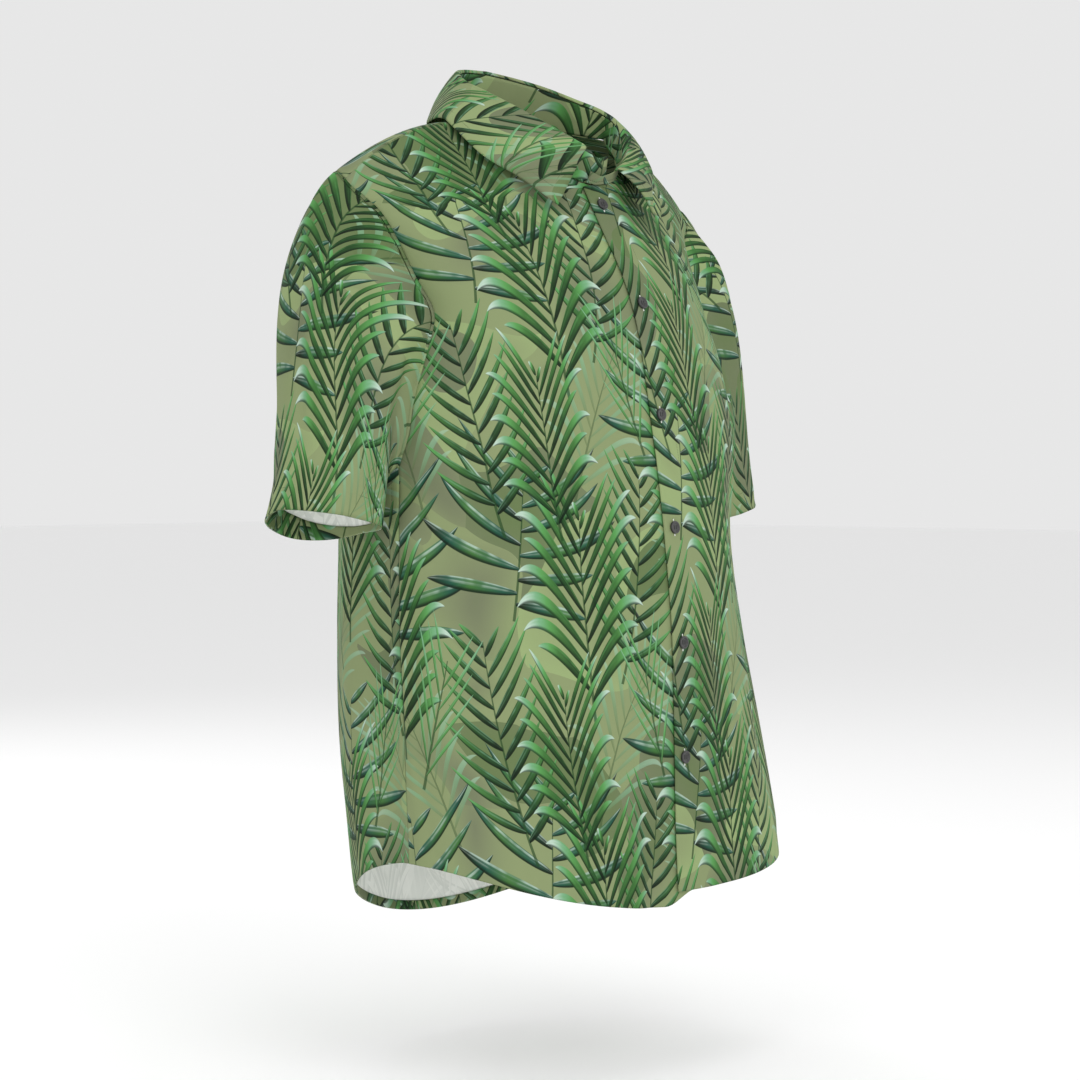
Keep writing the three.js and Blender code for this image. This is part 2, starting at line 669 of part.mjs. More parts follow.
// A button's turned shape: a shallow well inside a round rim.
function buttonGeometry() {
  const { radius, thick, sides } = BUTTON;
  const outline = [
    [0, 0], [radius * 0.8, 0], [radius, thick * 0.45], [radius * 0.9, thick],
    [radius * 0.72, thick], [radius * 0.6, thick * 0.68], [0, thick * 0.68],
  ];
  const geometry = new THREE.LatheGeometry(outline.map(([r, z]) => new THREE.Vector2(r, z)), sides);
  return geometry.rotateX(Math.PI / 2);
}

// Rows of the front at equal steps of cloth down the centre line from the first button.
function buttonRows() {
  const rows = [];
  let last = formPoint("front", 1, 0, NECK_ROW.front);
  let travelled = -1;
  for (let row = NECK_ROW.front; rows.length < BUTTON.count; row -= 0.01) {
    const point = formPoint("front", 1, 0, row);
    const started = travelled >= 0;
    travelled += started ? point.distanceTo(last) : 0;
    const first = !started && point.z <= BUTTON.top;
    if (first || (started && travelled >= BUTTON.step)) {
      rows.push(row);
      travelled = 0;
    }
    last = point;
  }
  return rows;
}

function addButtons() {
  buttonRows().forEach((row, i) => {
    const across = acrossAt("front", BUTTON.x, row);
    const normal = formNormal("front", 1, across, row);
    const button = addPiece(`button_${i + 1}`, buttonGeometry(), "button");
    button.position.copy(formPoint("front", 1, across, row))
      .addScaledVector(normal, PLACKET_WALL + LAYER_GAP + SEAM_GAP);
    button.quaternion.setFromUnitVectors(new THREE.Vector3(0, 0, 1), normal);
  });
}

addRightFront();
addLeftFront();
addPlacket();
addBack();
addBodyHems();
SIDES.forEach(addSleeve);
addCollar();
addButtons();

export default shirt;
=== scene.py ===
import json
import math

import bpy
import numpy as np
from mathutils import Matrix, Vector

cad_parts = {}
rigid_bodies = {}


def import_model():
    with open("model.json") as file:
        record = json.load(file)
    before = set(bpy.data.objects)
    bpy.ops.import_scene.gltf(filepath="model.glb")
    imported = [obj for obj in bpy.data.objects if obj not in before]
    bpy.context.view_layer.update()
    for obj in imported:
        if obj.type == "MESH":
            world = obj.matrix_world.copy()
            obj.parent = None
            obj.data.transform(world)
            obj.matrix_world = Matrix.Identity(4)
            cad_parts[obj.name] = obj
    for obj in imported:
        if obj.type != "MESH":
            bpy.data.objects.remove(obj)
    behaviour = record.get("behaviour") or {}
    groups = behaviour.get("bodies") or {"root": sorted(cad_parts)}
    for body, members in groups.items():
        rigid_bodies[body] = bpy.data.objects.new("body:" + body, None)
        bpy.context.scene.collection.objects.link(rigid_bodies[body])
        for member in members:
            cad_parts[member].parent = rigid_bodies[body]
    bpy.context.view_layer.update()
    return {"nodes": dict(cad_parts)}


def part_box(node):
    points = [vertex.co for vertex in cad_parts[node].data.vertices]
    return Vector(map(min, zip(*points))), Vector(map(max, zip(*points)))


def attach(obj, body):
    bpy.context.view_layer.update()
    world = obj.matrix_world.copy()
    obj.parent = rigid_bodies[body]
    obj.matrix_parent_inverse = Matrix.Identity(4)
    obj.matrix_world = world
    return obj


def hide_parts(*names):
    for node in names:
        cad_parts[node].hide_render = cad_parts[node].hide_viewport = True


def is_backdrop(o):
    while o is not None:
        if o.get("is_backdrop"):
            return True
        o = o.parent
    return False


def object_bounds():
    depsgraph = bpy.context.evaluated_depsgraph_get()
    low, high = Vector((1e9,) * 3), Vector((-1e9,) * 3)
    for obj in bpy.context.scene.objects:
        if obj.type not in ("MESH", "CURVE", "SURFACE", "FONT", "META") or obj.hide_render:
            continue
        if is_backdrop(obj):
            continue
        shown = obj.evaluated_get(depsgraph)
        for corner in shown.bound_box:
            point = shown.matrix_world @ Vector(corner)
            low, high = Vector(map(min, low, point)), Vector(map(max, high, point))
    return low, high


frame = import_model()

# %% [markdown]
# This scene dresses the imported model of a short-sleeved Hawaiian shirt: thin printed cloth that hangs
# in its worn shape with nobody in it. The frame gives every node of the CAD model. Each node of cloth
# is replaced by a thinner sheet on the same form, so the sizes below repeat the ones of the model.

MM = 0.001
LEFT = 1
RIGHT = -1
HANDS = {RIGHT: "right", LEFT: "left"}
print("nodes to dress:", len(frame["nodes"]))

# %% [markdown]
# A garment is a form first. Its body is two halves, front and back, and each half is described by
# rows from the hem up to the shoulder. A row runs from the centre line, or from the neck edge, out to
# the side seam or the armhole, and bulges like part of an oval. Short tables hold those rows, and a
# smooth curve through them gives any point between, so the same few numbers make a coarse solid or a
# fine sheet.

# %% Tables of the body's form
def table(names, rows):
    columns = np.array(rows, float).T
    return dict(zip(names.split(), columns))


BODY = {
    "front": table("inX inY inZ outX outY outZ full rise", [
        [0, -175, -674, 227, -40, -674, 2.6, 0],
        [0, -172, -620, 226, -36, -620, 2.3, 0],
        [0, -170.5, -550, 222, -29, -550, 2.0, 0],
        [0, -168, -470, 214, -17, -470, 1.82, 0],
        [0, -161, -400, 208, -11, -400, 1.78, 0],
        [0, -154.5, -350, 210, -13, -352, 1.8, 0],
        [0, -150, -320, 217, -19, -324, 1.8, 0],
        [0, -144.5, -290, 213, -27, -296, 1.85, 0],
        [0, -138.5, -255, 204, -26, -262, 1.9, 0],
        [0, -131, -215, 188, -27, -218, 1.95, 0],
        [0, -121, -178, 177, -24, -186, 1.95, 0],
        [0, -106, -143, 186, -10, -154, 1.85, 0],
        [0, -86, -108, 198, 0, -122, 1.65, 0],
        [0, -62, -64, 212, 7, -98, 1.45, 0],
        [30, -56, -57, 225, 14, -85, 1.3, 3],
        [58, -38, -38, 231, 21, -77, 1.15, 9],
        [79, -4, -11, 236, 28, -67, 1.0, 22],
    ]),
    "back": table("inX inY inZ outX outY outZ full rise", [
        [0, 140, -674, 227, -40, -674, 2.05, 0],
        [0, 147, -620, 226, -36, -620, 2.15, 0],
        [0, 153.5, -550, 222, -29, -550, 2.35, 0],
        [0, 159, -470, 214, -17, -470, 2.4, 0],
        [0, 162, -400, 208, -11, -400, 2.4, 0],
        [0, 162, -350, 210, -13, -352, 2.4, 0],
        [0, 162, -320, 217, -19, -324, 2.4, 0],
        [0, 162, -285, 218, 14, -310, 2.3, 0],
        [0, 161, -240, 214, 52, -278, 2.2, 0],
        [0, 158, -195, 205, 80, -234, 2.1, 0],
        [0, 152, -150, 201, 93, -190, 2.0, 0],
        [0, 141, -105, 207, 91, -148, 1.85, 0],
        [0, 124, -60, 215, 80, -114, 1.7, 0],
        [0, 105, -20, 222, 68, -92, 1.5, 0],
        [0, 88, 3, 227, 59, -79, 1.35, 0],
        [40, 81, 2, 230, 53, -71, 1.2, 2],
        [65, 62, -1, 232, 47, -65, 1.08, 5],
        [76, 36, -3, 233, 41, -59, 1.0, 12],
        [79, -4, -11, 236, 28, -67, 1.0, 22],
    ]),
}
LAST_ROW = {half: len(BODY[half]["inX"]) - 1 for half in BODY}
NECK_ROW = {"front": 13, "back": 14}
ARMPIT_ROW = 6
HEM_FADE_ROW = 3
HEM_DROP = {"right": 47, "left": 34, "back": 80}
HEM_CURVE = {"right": 1.6, "left": 0.85, "back": 1.7}
HEM_CLIMB = (-0.03, 0.09)
SHOULDER_RISE = {RIGHT: 1.0, LEFT: 0.6}
HALF_GIRTH = 600
print("body rows:", LAST_ROW)

# %% [markdown]
# Cloth that hangs is never smooth. The broad folds are the ones that the solids have. The finer ones
# are soft troughs and ridges placed one by one, each in its own length, width and height, as the shirt
# shows them: a valley just behind the side seam, drag lines that run down from the armhole, and the
# fold at the hem where the right front goes in under the placket. The sides that no one sees in the
# picture get folds of the same kind. Places are on the body laid flat, in millimetres round it from
# the centre front, plus to the wearer's left.

# %% Folds of the body
FOLDS = table("fromAround fromZ toAround toZ width height", [
    [-262, -370, -236, -640, 30, 5],
    [-338, -390, -330, -650, 28, -6],
    [268, -380, 238, -650, 30, 4],
    [342, -400, 328, -640, 28, -6],
    [-485, -300, -458, -690, 34, 3.5],
    [462, -330, 490, -680, 30, 5],
    [-225, -262, -165, -345, 30, -3.5],
    [236, -270, 178, -330, 28, -3],
    [-313, -372, -309, -680, 9, -2.4],
    [-291, -410, -287, -676, 8, 1.5],
    [-286, -338, -214, -430, 15, -2.4],
    [-268, -300, -188, -384, 13, 1.8],
    [-48, -610, -40, -722, 9, -2.6],
    [-64, -630, -60, -722, 11, 1.9],
    [-152, -330, -122, -620, 22, 1.8],
    [-184, -380, -166, -650, 18, -1.8],
    [-108, -130, -92, -240, 16, -1.2],
    [-96, -420, -70, -560, 15, -1.4],
    [92, -330, 112, -640, 20, 1.8],
    [142, -350, 152, -600, 17, -2.0],
    [204, -330, 194, -660, 15, 2.0],
    [286, -340, 222, -420, 15, -2.4],
    [309, -380, 312, -676, 9, -2.2],
    [60, -470, 48, -690, 14, -1.5],
    [-424, -260, -402, -570, 21, -2.4],
    [402, -280, 417, -640, 20, -2.2],
    [562, -220, 577, -700, 26, 3.0],
    [-560, -300, -586, -690, 24, 2.4],
    [522, -400, 502, -700, 17, -2.6],
    [-530, -420, -514, -720, 15, -2.2],
    [-380, -250, -440, -330, 16, 2.2],
    [384, -240, 446, -310, 15, 2.0],
])


def eased(value):
    t = np.clip(value, 0, 1)
    return t * t * (3 - 2 * t)


def fold_heights(folds, around, down, loop):
    """Height of all folds at places of a cloth laid flat, which closes on itself after a loop."""
    height = np.zeros(np.broadcast(around, down).shape)
    for from_a, from_d, to_a, to_d, width, rise in zip(*folds.values()):
        start = around - from_a
        start = start - np.round(start / loop) * loop
        run, fall = to_a - from_a, to_d - from_d
        part = (start * run + (down - from_d) * fall) / (run * run + fall * fall)
        near = np.clip(part, 0, 1)
        off = np.hypot(start - near * run, down - from_d - near * fall)
        height = height + rise * np.exp(-(off / width) ** 2)
    return height


print("folds on the body:", len(FOLDS["height"]))

# %% A smooth value between the rows of a table
def smooth(rows, key, place, at=None, corner=-1):
    values = rows[key]
    last = len(values) - 1
    spots = rows[at] if at else np.arange(last + 1, dtype=float)
    place = np.asarray(place, float)
    row = np.clip(np.searchsorted(spots, place) - 1, 0, last - 1)

    def slope(i):
        before = np.where((i == corner) & (row >= corner), i, np.maximum(i - 1, 0))
        after = np.where((i == corner) & (row < corner), i, np.minimum(i + 1, last))
        return (values[after] - values[before]) / (spots[after] - spots[before])

    span = spots[row + 1] - spots[row]
    t = (place - spots[row]) / span
    t2, t3 = t * t, t * t * t
    return ((2 * t3 - 3 * t2 + 1) * values[row] + (t3 - 2 * t2 + t) * span * slope(row)
            + (3 * t2 - 2 * t3) * values[row + 1] + (t3 - t2) * span * slope(row + 1))


# %% Points and normals of the body
def body_point(half, side, across, row):
    rows = BODY[half]
    across, row = np.broadcast_arrays(np.asarray(across, float), np.asarray(row, float))
    inner = {key: smooth(rows, key, row, corner=NECK_ROW[half]) for key in ("inX", "inY", "inZ")}
    outer = {key: smooth(rows, key, row, corner=ARMPIT_ROW) for key in ("outX", "outY", "outZ")}
    reach = np.sin(across * np.pi / 2)
    level = np.abs(reach)
    full = np.maximum(smooth(rows, "full", row), 1)
    bow = np.maximum(1 - level ** full, 0) ** (1 / full)
    x = inner["inX"] + (outer["outX"] - inner["inX"]) * reach
    y = outer["outY"] + (inner["inY"] - outer["outY"]) * bow
    rise = smooth(rows, "rise", row) * 4 * level * (1 - level) * SHOULDER_RISE[side]
    z = inner["inZ"] + (outer["outZ"] - inner["inZ"]) * level + rise
    if half == "back":
        drop, power = HEM_DROP["back"], HEM_CURVE["back"]
    else:
        low, high = HEM_CLIMB
        climb = eased((across - low) / (high - low)) if side == RIGHT else 0
        drop = HEM_DROP["left"] + (HEM_DROP["right"] - HEM_DROP["left"]) * climb
        power = HEM_CURVE[HANDS[side]]
    curve = np.maximum(np.cos(across * np.pi / 2), 0) ** power
    z = z - drop * curve * np.clip(1 - row / HEM_FADE_ROW, 0, None)
    along = across * HALF_GIRTH / 2
    around = side * (along if half == "front" else HALF_GIRTH - along)
    swell = 1 + fold_heights(FOLDS, around, z, 2 * HALF_GIRTH) / np.hypot(x, y)
    return np.stack([side * x * swell, y * swell, z], -1)


def unit(vectors):
    return vectors / np.linalg.norm(vectors, axis=-1, keepdims=True)


def body_normal(half, side, across, row):
    along = (body_point(half, side, np.minimum(across + 0.01, 1), row)
             - body_point(half, side, across - 0.01, row))
    up = (body_point(half, side, across, np.minimum(row + 0.05, LAST_ROW[half]))
          - body_point(half, side, across, np.maximum(row - 0.05, 0)))
    normal = unit(np.cross(along, up))
    return normal if (half == "front") == (side == LEFT) else -normal


def across_at(half, x, row):
    rows = BODY[half]
    inner = smooth(rows, "inX", row, corner=NECK_ROW[half])
    outer = smooth(rows, "outX", row, corner=ARMPIT_ROW)
    return np.arcsin((x - inner) / (outer - inner)) * 2 / np.pi


print("centre front hem at", body_point("front", LEFT, 0, 0).round(1))

# %% [markdown]
# A sheet of cloth is a grid of points with a second set of coordinates: where each point lay on the
# flat cloth before it was sewn. The print follows those, so its leaves keep their real size on every
# panel. The grid becomes a mesh with one face for each cell, and a Solidify modifier gives it two
# sides: the printed one outside and the pale one inside.

# %% From a grid of points to a sheet of cloth
CLOTH = 0.9
FAR = 99.0
PRINTED = bpy.data.materials.new("printed_cloth")
INSIDE = bpy.data.materials.new("inside_of_cloth")


def grid_normals(grid, closed=False):
    down = np.gradient(grid, axis=0)
    if closed:
        along = (np.roll(grid, -1, axis=1) - np.roll(grid, 1, axis=1)) / 2
    else:
        along = np.gradient(grid, axis=1)
    return unit(np.cross(along, down))


def run_lengths(grid, axis):
    steps = np.linalg.norm(np.diff(grid, axis=axis), axis=-1)
    return np.concatenate([np.zeros_like(np.take(steps, [0], axis)), np.cumsum(steps, axis)], axis)


def cloth_sheet(name, grid, flat, wall, faces_out, closed=False, stitch=None, inside=INSIDE,
                turned=None):
    """A sheet named after the node that it stands for, with its wall inwards of the grid. turned
    tells the cells where a seam's turned edge shows the print inside too."""
    rows, columns = grid.shape[:2]
    spans = columns if closed else columns - 1
    i, j = np.meshgrid(np.arange(rows - 1), np.arange(spans), indexing="ij")
    right = (j + 1) % columns
    cells = np.stack([i * columns + j, i * columns + right,
                      (i + 1) * columns + right, (i + 1) * columns + j], -1).reshape(-1, 4)
    corners = np.stack([flat[i, j], flat[i, j + 1], flat[i + 1, j + 1], flat[i + 1, j]], 2)
    corners = corners.reshape(-1, 4, 2)
    if np.sum(grid_normals(grid, closed) * faces_out) < 0:
        cells, corners = cells[:, ::-1], corners[:, ::-1]
    mesh = bpy.data.meshes.new(f"{name}_cloth")
    mesh.from_pydata((grid * MM).reshape(-1, 3).tolist(), [], cells.tolist())
    mesh.uv_layers.new(name="cut").data.foreach_set("uv", (corners * MM).ravel())
    thread = mesh.attributes.new("stitch", "FLOAT", "POINT")
    distance = np.full((rows, columns), FAR) if stitch is None else stitch
    thread.data.foreach_set("value", distance.ravel())
    mesh.polygons.foreach_set("use_smooth", np.ones(len(cells), bool))
    sheet = bpy.data.objects.new(f"{name}_cloth", mesh)
    bpy.context.scene.collection.objects.link(sheet)
    sheet.data.materials.append(PRINTED)
    sheet.data.materials.append(inside)
    thicken(sheet, wall)
    if turned is not None:
        for cell in np.flatnonzero(turned[:rows - 1, :spans]):
            sheet.data.polygons[len(cells) + int(cell)].material_index = 0
    return sheet


def only(piece):
    bpy.ops.object.select_all(action="DESELECT")
    piece.select_set(True)
    bpy.context.view_layer.objects.active = piece


def thicken(sheet, wall):
    only(sheet)
    solid = sheet.modifiers.new("two sides", "SOLIDIFY")
    solid.thickness = wall * MM
    solid.offset = -1
    solid.material_offset = 1
    bpy.ops.object.modifier_apply(modifier=solid.name)


def cut_of(grid):
    """Width, length and area in metres of the cloth that a grid stands for."""
    width = run_lengths(grid, 1)[:, -1].max()
    length = run_lengths(grid, 0)[-1].max()
    sides = np.cross(grid[1:, :-1] - grid[:-1, :-1], grid[:-1, 1:] - grid[:-1, :-1])
    other = np.cross(grid[1:, :-1] - grid[1:, 1:], grid[:-1, 1:] - grid[1:, 1:])
    area = (np.linalg.norm(sides, axis=-1) + np.linalg.norm(other, axis=-1)).sum() / 2
    area = min(area, width * length)
    return width * MM, length * MM, area * MM * MM


def wear(piece, *nodes):
    """A piece rides on the one body and stands for its nodes."""
    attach(piece, "root")
    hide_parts(*nodes)


def declare(grid):
    """Works out the width, length and area that a sheet was cut to; nothing uses them."""
    width, length, area = cut_of(grid)


# %% [markdown]
# A sewn seam pulls the cloth in, so each panel's edge dips towards the inside over the last two
# millimetres. Along the stitched hems the cloth puckers a little between the needle's holes. Both are
# too fine for the solids and are made here as small moves of the points along their normals.

# %% Seams, hems and panels
SEAM_DIP = 1.1
DIP_REACH = 1.6
SEAM_PULL = 0.1
BODY_HEM = 9
PUCKER = 0.45
PUCKER_REACH = 7
EDGE_STEPS = (0.0, 0.6, 1.4, 2.6, 4.4)
HEM_STEPS = (0, 0.02, 0.05, 0.1)
SEAM_TURNING = 12
COLUMNS = 92
BODY_ROWS = 132
NECK_ROWS = 44


def pucker(run, distance, seed):
    """Small uneven waves along a line of stitches."""
    wave = (np.sin(run / 2.3 + seed) + 0.7 * np.sin(run / 3.7 + 2 * seed)
            + 0.5 * np.sin(run / 1.63 + 3 * seed))
    return PUCKER * wave / 2 * np.exp(-(distance / PUCKER_REACH) ** 2)


def edge_columns(start, steps):
    """Places from start to the seam at 1, close together beside the seam."""
    reach = HALF_GIRTH / 2
    near = [1 - step / reach for step in EDGE_STEPS]
    return np.concatenate([np.linspace(start, near[-1], steps), near[-2::-1]])


def body_rows(half):
    upper = np.linspace(0, NECK_ROW[half], BODY_ROWS)
    neck = np.linspace(NECK_ROW[half], LAST_ROW[half], NECK_ROWS)[1:]
    return np.concatenate([HEM_STEPS, upper[upper > HEM_STEPS[-1] + 0.02], neck])


def heights_above_hem(half, side, across, rows):
    """Length of cloth from the hem up to each point, along lines of one place across."""
    spots = np.linspace(0, 1, 61)
    lengths = run_lengths(body_point(half, side, spots[None], rows[:, None]), 0)
    return np.stack([np.interp(np.abs(places), spots, line)
                     for places, line in zip(across, lengths)])


def panel(half, side, lift, start_x=0.0):
    """The grid of one half panel: points, flat coordinates and distance to its stitches."""
    rows = body_rows(half)
    starts = np.zeros(len(rows))
    if start_x:
        lower = rows <= NECK_ROW[half]
        starts[lower] = across_at(half, start_x, rows[lower])
    across = np.stack([edge_columns(start, COLUMNS) for start in starts])
    row = np.repeat(rows[:, None], across.shape[1], 1)
    grid = body_point(half, side, across, row)
    normal = body_normal(half, side, across, row)
    x = np.abs(grid[..., 0]) * np.where(across < 0, -1, 1)
    armpit = np.argmin(np.abs(rows - ARMPIT_ROW))
    hem_height = heights_above_hem(half, side, across, rows)
    height = hem_height - hem_height[armpit]
    around = run_lengths(grid, 1)
    centre = [np.interp(0, spots, lengths) for spots, lengths in zip(across, around)]
    around = around - np.array(centre)[:, None]
    around = around + smooth(BODY[half], "inX", rows, corner=NECK_ROW[half])[:, None]
    from_seam = run_lengths(grid[:, ::-1], 1)[:, ::-1]
    from_top = run_lengths(grid[::-1], 0)[::-1]
    dip = SEAM_DIP * (np.exp(-(from_seam / DIP_REACH) ** 2) + np.exp(-(from_top / DIP_REACH) ** 2))
    waves = pucker(around, hem_height - BODY_HEM, 1 + side)
    grid = grid + normal * (lift(x) - np.minimum(dip, SEAM_DIP) + waves)[..., None]
    inwards = unit(grid[:, -2] - grid[:, -1])
    grid[:, -1] += inwards * SEAM_PULL
    flat = np.stack([side * around, height], -1)
    turned = (from_seam < SEAM_TURNING) & (row > ARMPIT_ROW)
    return {"grid": grid, "flat": flat, "normal": normal, "hem": hem_height, "turned": turned,
            "around": around, "from_seam": from_seam, "across": across, "row": row}


# %% [markdown]
# The right front runs on under the left one. The left front is one sheet from its free edge, over
# the band that carries the buttonholes, to its side seam, because the print runs on across that band
# and only a line of stitches marks its inner edge. So this sheet stands for two nodes, the left front
# and the placket.

# %% Fronts
HALF_LAP = 16.5
LAP_LIFT = 2.2
LAP_REACH = 45
BAND_STITCH = 14.5
PRINT_AT = {
    "front_right": (70, 40),
    "front_left": (196, 118),
    "back": (20, -60),
    "sleeve_right": (130, 90),
    "sleeve_left": (40, 210),
    "collar_fall": (60, 150),
    "collar_stand": (150, 20),
}


def lap_lift(x):
    return LAP_LIFT * np.exp(-(np.maximum(x - 8, 0) / LAP_REACH) ** 2) + 0.1


def no_lift(x):
    return np.zeros_like(x)


right_front = panel("front", RIGHT, no_lift, start_x=-HALF_LAP)
left_front = panel("front", LEFT, lap_lift, start_x=-HALF_LAP)
for name, part in (("front_right", right_front), ("front_left", left_front)):
    stitch = np.abs(part["hem"] - BODY_HEM)
    if name == "front_left":
        on_band = part["row"] <= NECK_ROW["front"]
        band = np.where(on_band, np.abs(part["around"] - BAND_STITCH), FAR)
        stitch = np.minimum(stitch, band)
    sheet = cloth_sheet(name, part["grid"], part["flat"] + PRINT_AT[name], CLOTH, part["normal"],
                        stitch=stitch, turned=part["turned"])
    nodes = ("front_left", "placket") if name == "front_left" else (name,)
    wear(sheet, *nodes)

# %% [markdown]
# The back is cut in one piece from side seam to side seam. Its top goes over the shoulders to seams
# that lie a little forward of the ridge. The two halves of its grid meet at the centre line and are
# one sheet. Inside the neck the print shows, because shirts are faced there with their own cloth.

# %% Back
SIDE_STITCH = 8
FACING_DOWN_TO = -88
halves = {side: panel("back", side, no_lift) for side in (RIGHT, LEFT)}


def joined(key):
    return np.concatenate([halves[RIGHT][key][:, ::-1], halves[LEFT][key][:, 1:]], axis=1)


back_neck = int(np.searchsorted(body_rows("back"), NECK_ROW["back"]))


def back_sheet():
    """The lower part is one grid. Above the neck's centre each half runs on by itself."""
    grid, flat, normal = joined("grid"), joined("flat"), joined("normal")
    stitch = np.minimum(np.abs(joined("hem") - BODY_HEM),
                        np.where(joined("row") <= ARMPIT_ROW,
                                 np.abs(joined("from_seam") - SIDE_STITCH), FAR))
    top = back_neck + 1
    sheet = cloth_sheet("back", grid[:top], flat[:top] + PRINT_AT["back"], CLOTH, normal[:top],
                        stitch=stitch[:top], turned=joined("turned")[:top])
    shoulders = []
    for side in (RIGHT, LEFT):
        half = halves[side]
        piece = cloth_sheet(f"back_shoulder_{HANDS[side]}", half["grid"][back_neck:],
                            half["flat"][back_neck:] + PRINT_AT["back"], CLOTH,
                            half["normal"][back_neck:], turned=half["turned"][back_neck:])
        shoulders.append(piece)
    only(sheet)
    for piece in shoulders:
        piece.select_set(True)
    bpy.ops.object.join()
    for face in sheet.data.polygons:
        if face.center.z > FACING_DOWN_TO * MM:
            face.material_index = 0
    return sheet, grid


back, back_grid = back_sheet()
wear(back, "back")

# %% [markdown]
# The hems are turned up twice, so a narrow band of the printed side shows inside. Each band is a
# sheet of its own, made from its panel's points moved inwards.

# %% Turned hems of the body
BAND_GAP = 0.2
BAND_WALL = 0.8
HEM_ROWS = 5
BAND_STARTS = {"hem_front_right": 8, "hem_front_left": 12}


def hem_band(name, part, first_column=0):
    steps = np.linspace(0, 1, HEM_ROWS)[:, None]
    half = "back" if name == "hem_back" else "front"
    side = part["side"]
    across = np.repeat(part["across"][:1, first_column:-1], HEM_ROWS, 0)
    one_row = BODY_HEM / np.linalg.norm(body_point(half, side, across[:1], 1.0)
                                        - body_point(half, side, across[:1], 0.0), axis=-1)
    row = steps * one_row
    normal = body_normal(half, side, across, row)
    x = np.abs(body_point(half, side, across, row)[..., 0])
    out = part["lift"](x) - CLOTH - BAND_GAP
    grid = body_point(half, side, across, row) + normal * out[..., None]
    around = run_lengths(grid, 1)
    flat = np.stack([side * around, -run_lengths(grid, 0)], -1)
    return grid, flat, normal


right_front.update(side=RIGHT, lift=no_lift)
left_front.update(side=LEFT, lift=lap_lift)
for side in halves:
    halves[side].update(side=side, lift=no_lift)

for name, part in (("hem_front_right", right_front), ("hem_front_left", left_front)):
    grid, flat, normal = hem_band(name, part, BAND_STARTS[name])
    wear(cloth_sheet(name, grid, flat, BAND_WALL, normal, inside=PRINTED), name)

right_band, left_band = (hem_band("hem_back", halves[side]) for side in (RIGHT, LEFT))
grid, flat, normal = (np.concatenate([a[:, ::-1], b[:, 1:]], 1)
                      for a, b in zip(right_band, left_band))
wear(cloth_sheet("hem_back", grid, flat, BAND_WALL, normal, inside=PRINTED), "hem_back")
declare(right_front["grid"])
declare(back_grid)

# %% [markdown]
# A sleeve is a tube that starts on the armhole and ends in an oval cuff. Each lengthwise line is a
# curve that leaves the armhole in a set direction and arrives steeply at the cuff, so the cap
# stands out over the shoulder before it falls. Its folds have a table of their own, in the share of
# the way round from the underarm over the front, and the share of the way down.

# %% Sleeves
CUFF = {"x": 260, "y": 22, "z": -375, "outward": 64, "inward": 42, "deep": 50}
CUFF_RISE = {"outward": 14, "inward": 8, "front": 3, "back": -13}
SLEEVE_FLOW = {
    "front": table("turn outX outY outZ leave arrive slant", [
        [0, 0.84, 0, -0.54, 92, 106, 0.4],
        [0.22, 0.88, -0.42, -0.08, 134, 94, 0.44],
        [0.5, 0.85, -0.42, -0.35, 84, 84, 0.28],
        [1, 0.5, 0, -0.85, 14, 26, 0.1],
    ]),
    "back": table("turn outX outY outZ leave arrive slant", [
        [0, 0.84, 0, -0.54, 92, 106, 0.4],
        [0.22, 0.84, 0.08, -0.42, 94, 110, 0.42],
        [0.5, 0.8, 0.1, -0.5, 62, 90, 0.3],
        [1, 0.5, 0, -0.85, 14, 26, 0.1],
    ]),
}
SLEEVE_FOLDS = table("fromAround fromDown toAround toDown width height", [
    [130, 40, 96, 190, 15, -2.4],
    [158, 60, 138, 250, 17, 2.6],
    [196, 90, 182, 262, 14, -2.2],
    [232, 50, 250, 230, 18, 2.4],
    [286, 40, 262, 190, 16, -2.6],
    [318, 60, 300, 210, 15, 2.2],
    [80, 60, 104, 170, 12, 1.8],
    [352, 40, 330, 140, 13, -2.0],
])
SLEEVE_GIRTH = 410
SLEEVE_HEM = 20
SLEEVE_ROWS = 74
ARMHOLE_STEPS = 60
UNDERARM_CLEAR = 1.3
SEAM_TUCK = 1.6
SEAM_DEPTH = 1.2
RING_BLUR = 4
ROW_CROWDING = 1.15
SEAM_SHARES = [0.004, 0.01]
FOLDS_START = 50


def armhole(side):
    """Points of the armhole from the underarm up the front to the shoulder and down the back."""
    parts = []
    for half in ("front", "back"):
        row = np.linspace(ARMPIT_ROW, LAST_ROW[half], ARMHOLE_STEPS)
        edge = body_point(half, side, np.ones_like(row), row)
        normal = body_normal(half, side, np.ones_like(row), row)
        parts.append((edge, normal))
    (front, front_normal), (back_edge, back_normal) = parts
    edge = np.concatenate([front, back_edge[1:-1][::-1]])
    normal = np.concatenate([front_normal, back_normal[1:-1][::-1]])
    steps = np.linalg.norm(np.roll(edge, -1, 0) - edge, axis=-1)
    lengths = np.concatenate([[0], np.cumsum(steps)])
    top = ARMHOLE_STEPS - 1
    index = np.arange(len(edge))
    whole = np.where(index <= top, lengths[top], lengths[-1] - lengths[top])
    turn = np.abs(lengths[top] - lengths[:-1]) / whole
    run = np.roll(edge, -1, 0) - np.roll(edge, 1, 0)
    into = unit(np.cross(normal, run)) * side
    return edge, normal, into, turn, index <= top


def blurred(values, spread):
    """Values round a closed ring, each mixed with its neighbours."""
    reach = np.arange(-3 * spread, 3 * spread + 1)
    weights = np.exp(-(reach / spread) ** 2)
    return sum(np.roll(values, -step, 0) * weight
               for step, weight in zip(reach, weights)) / weights.sum()


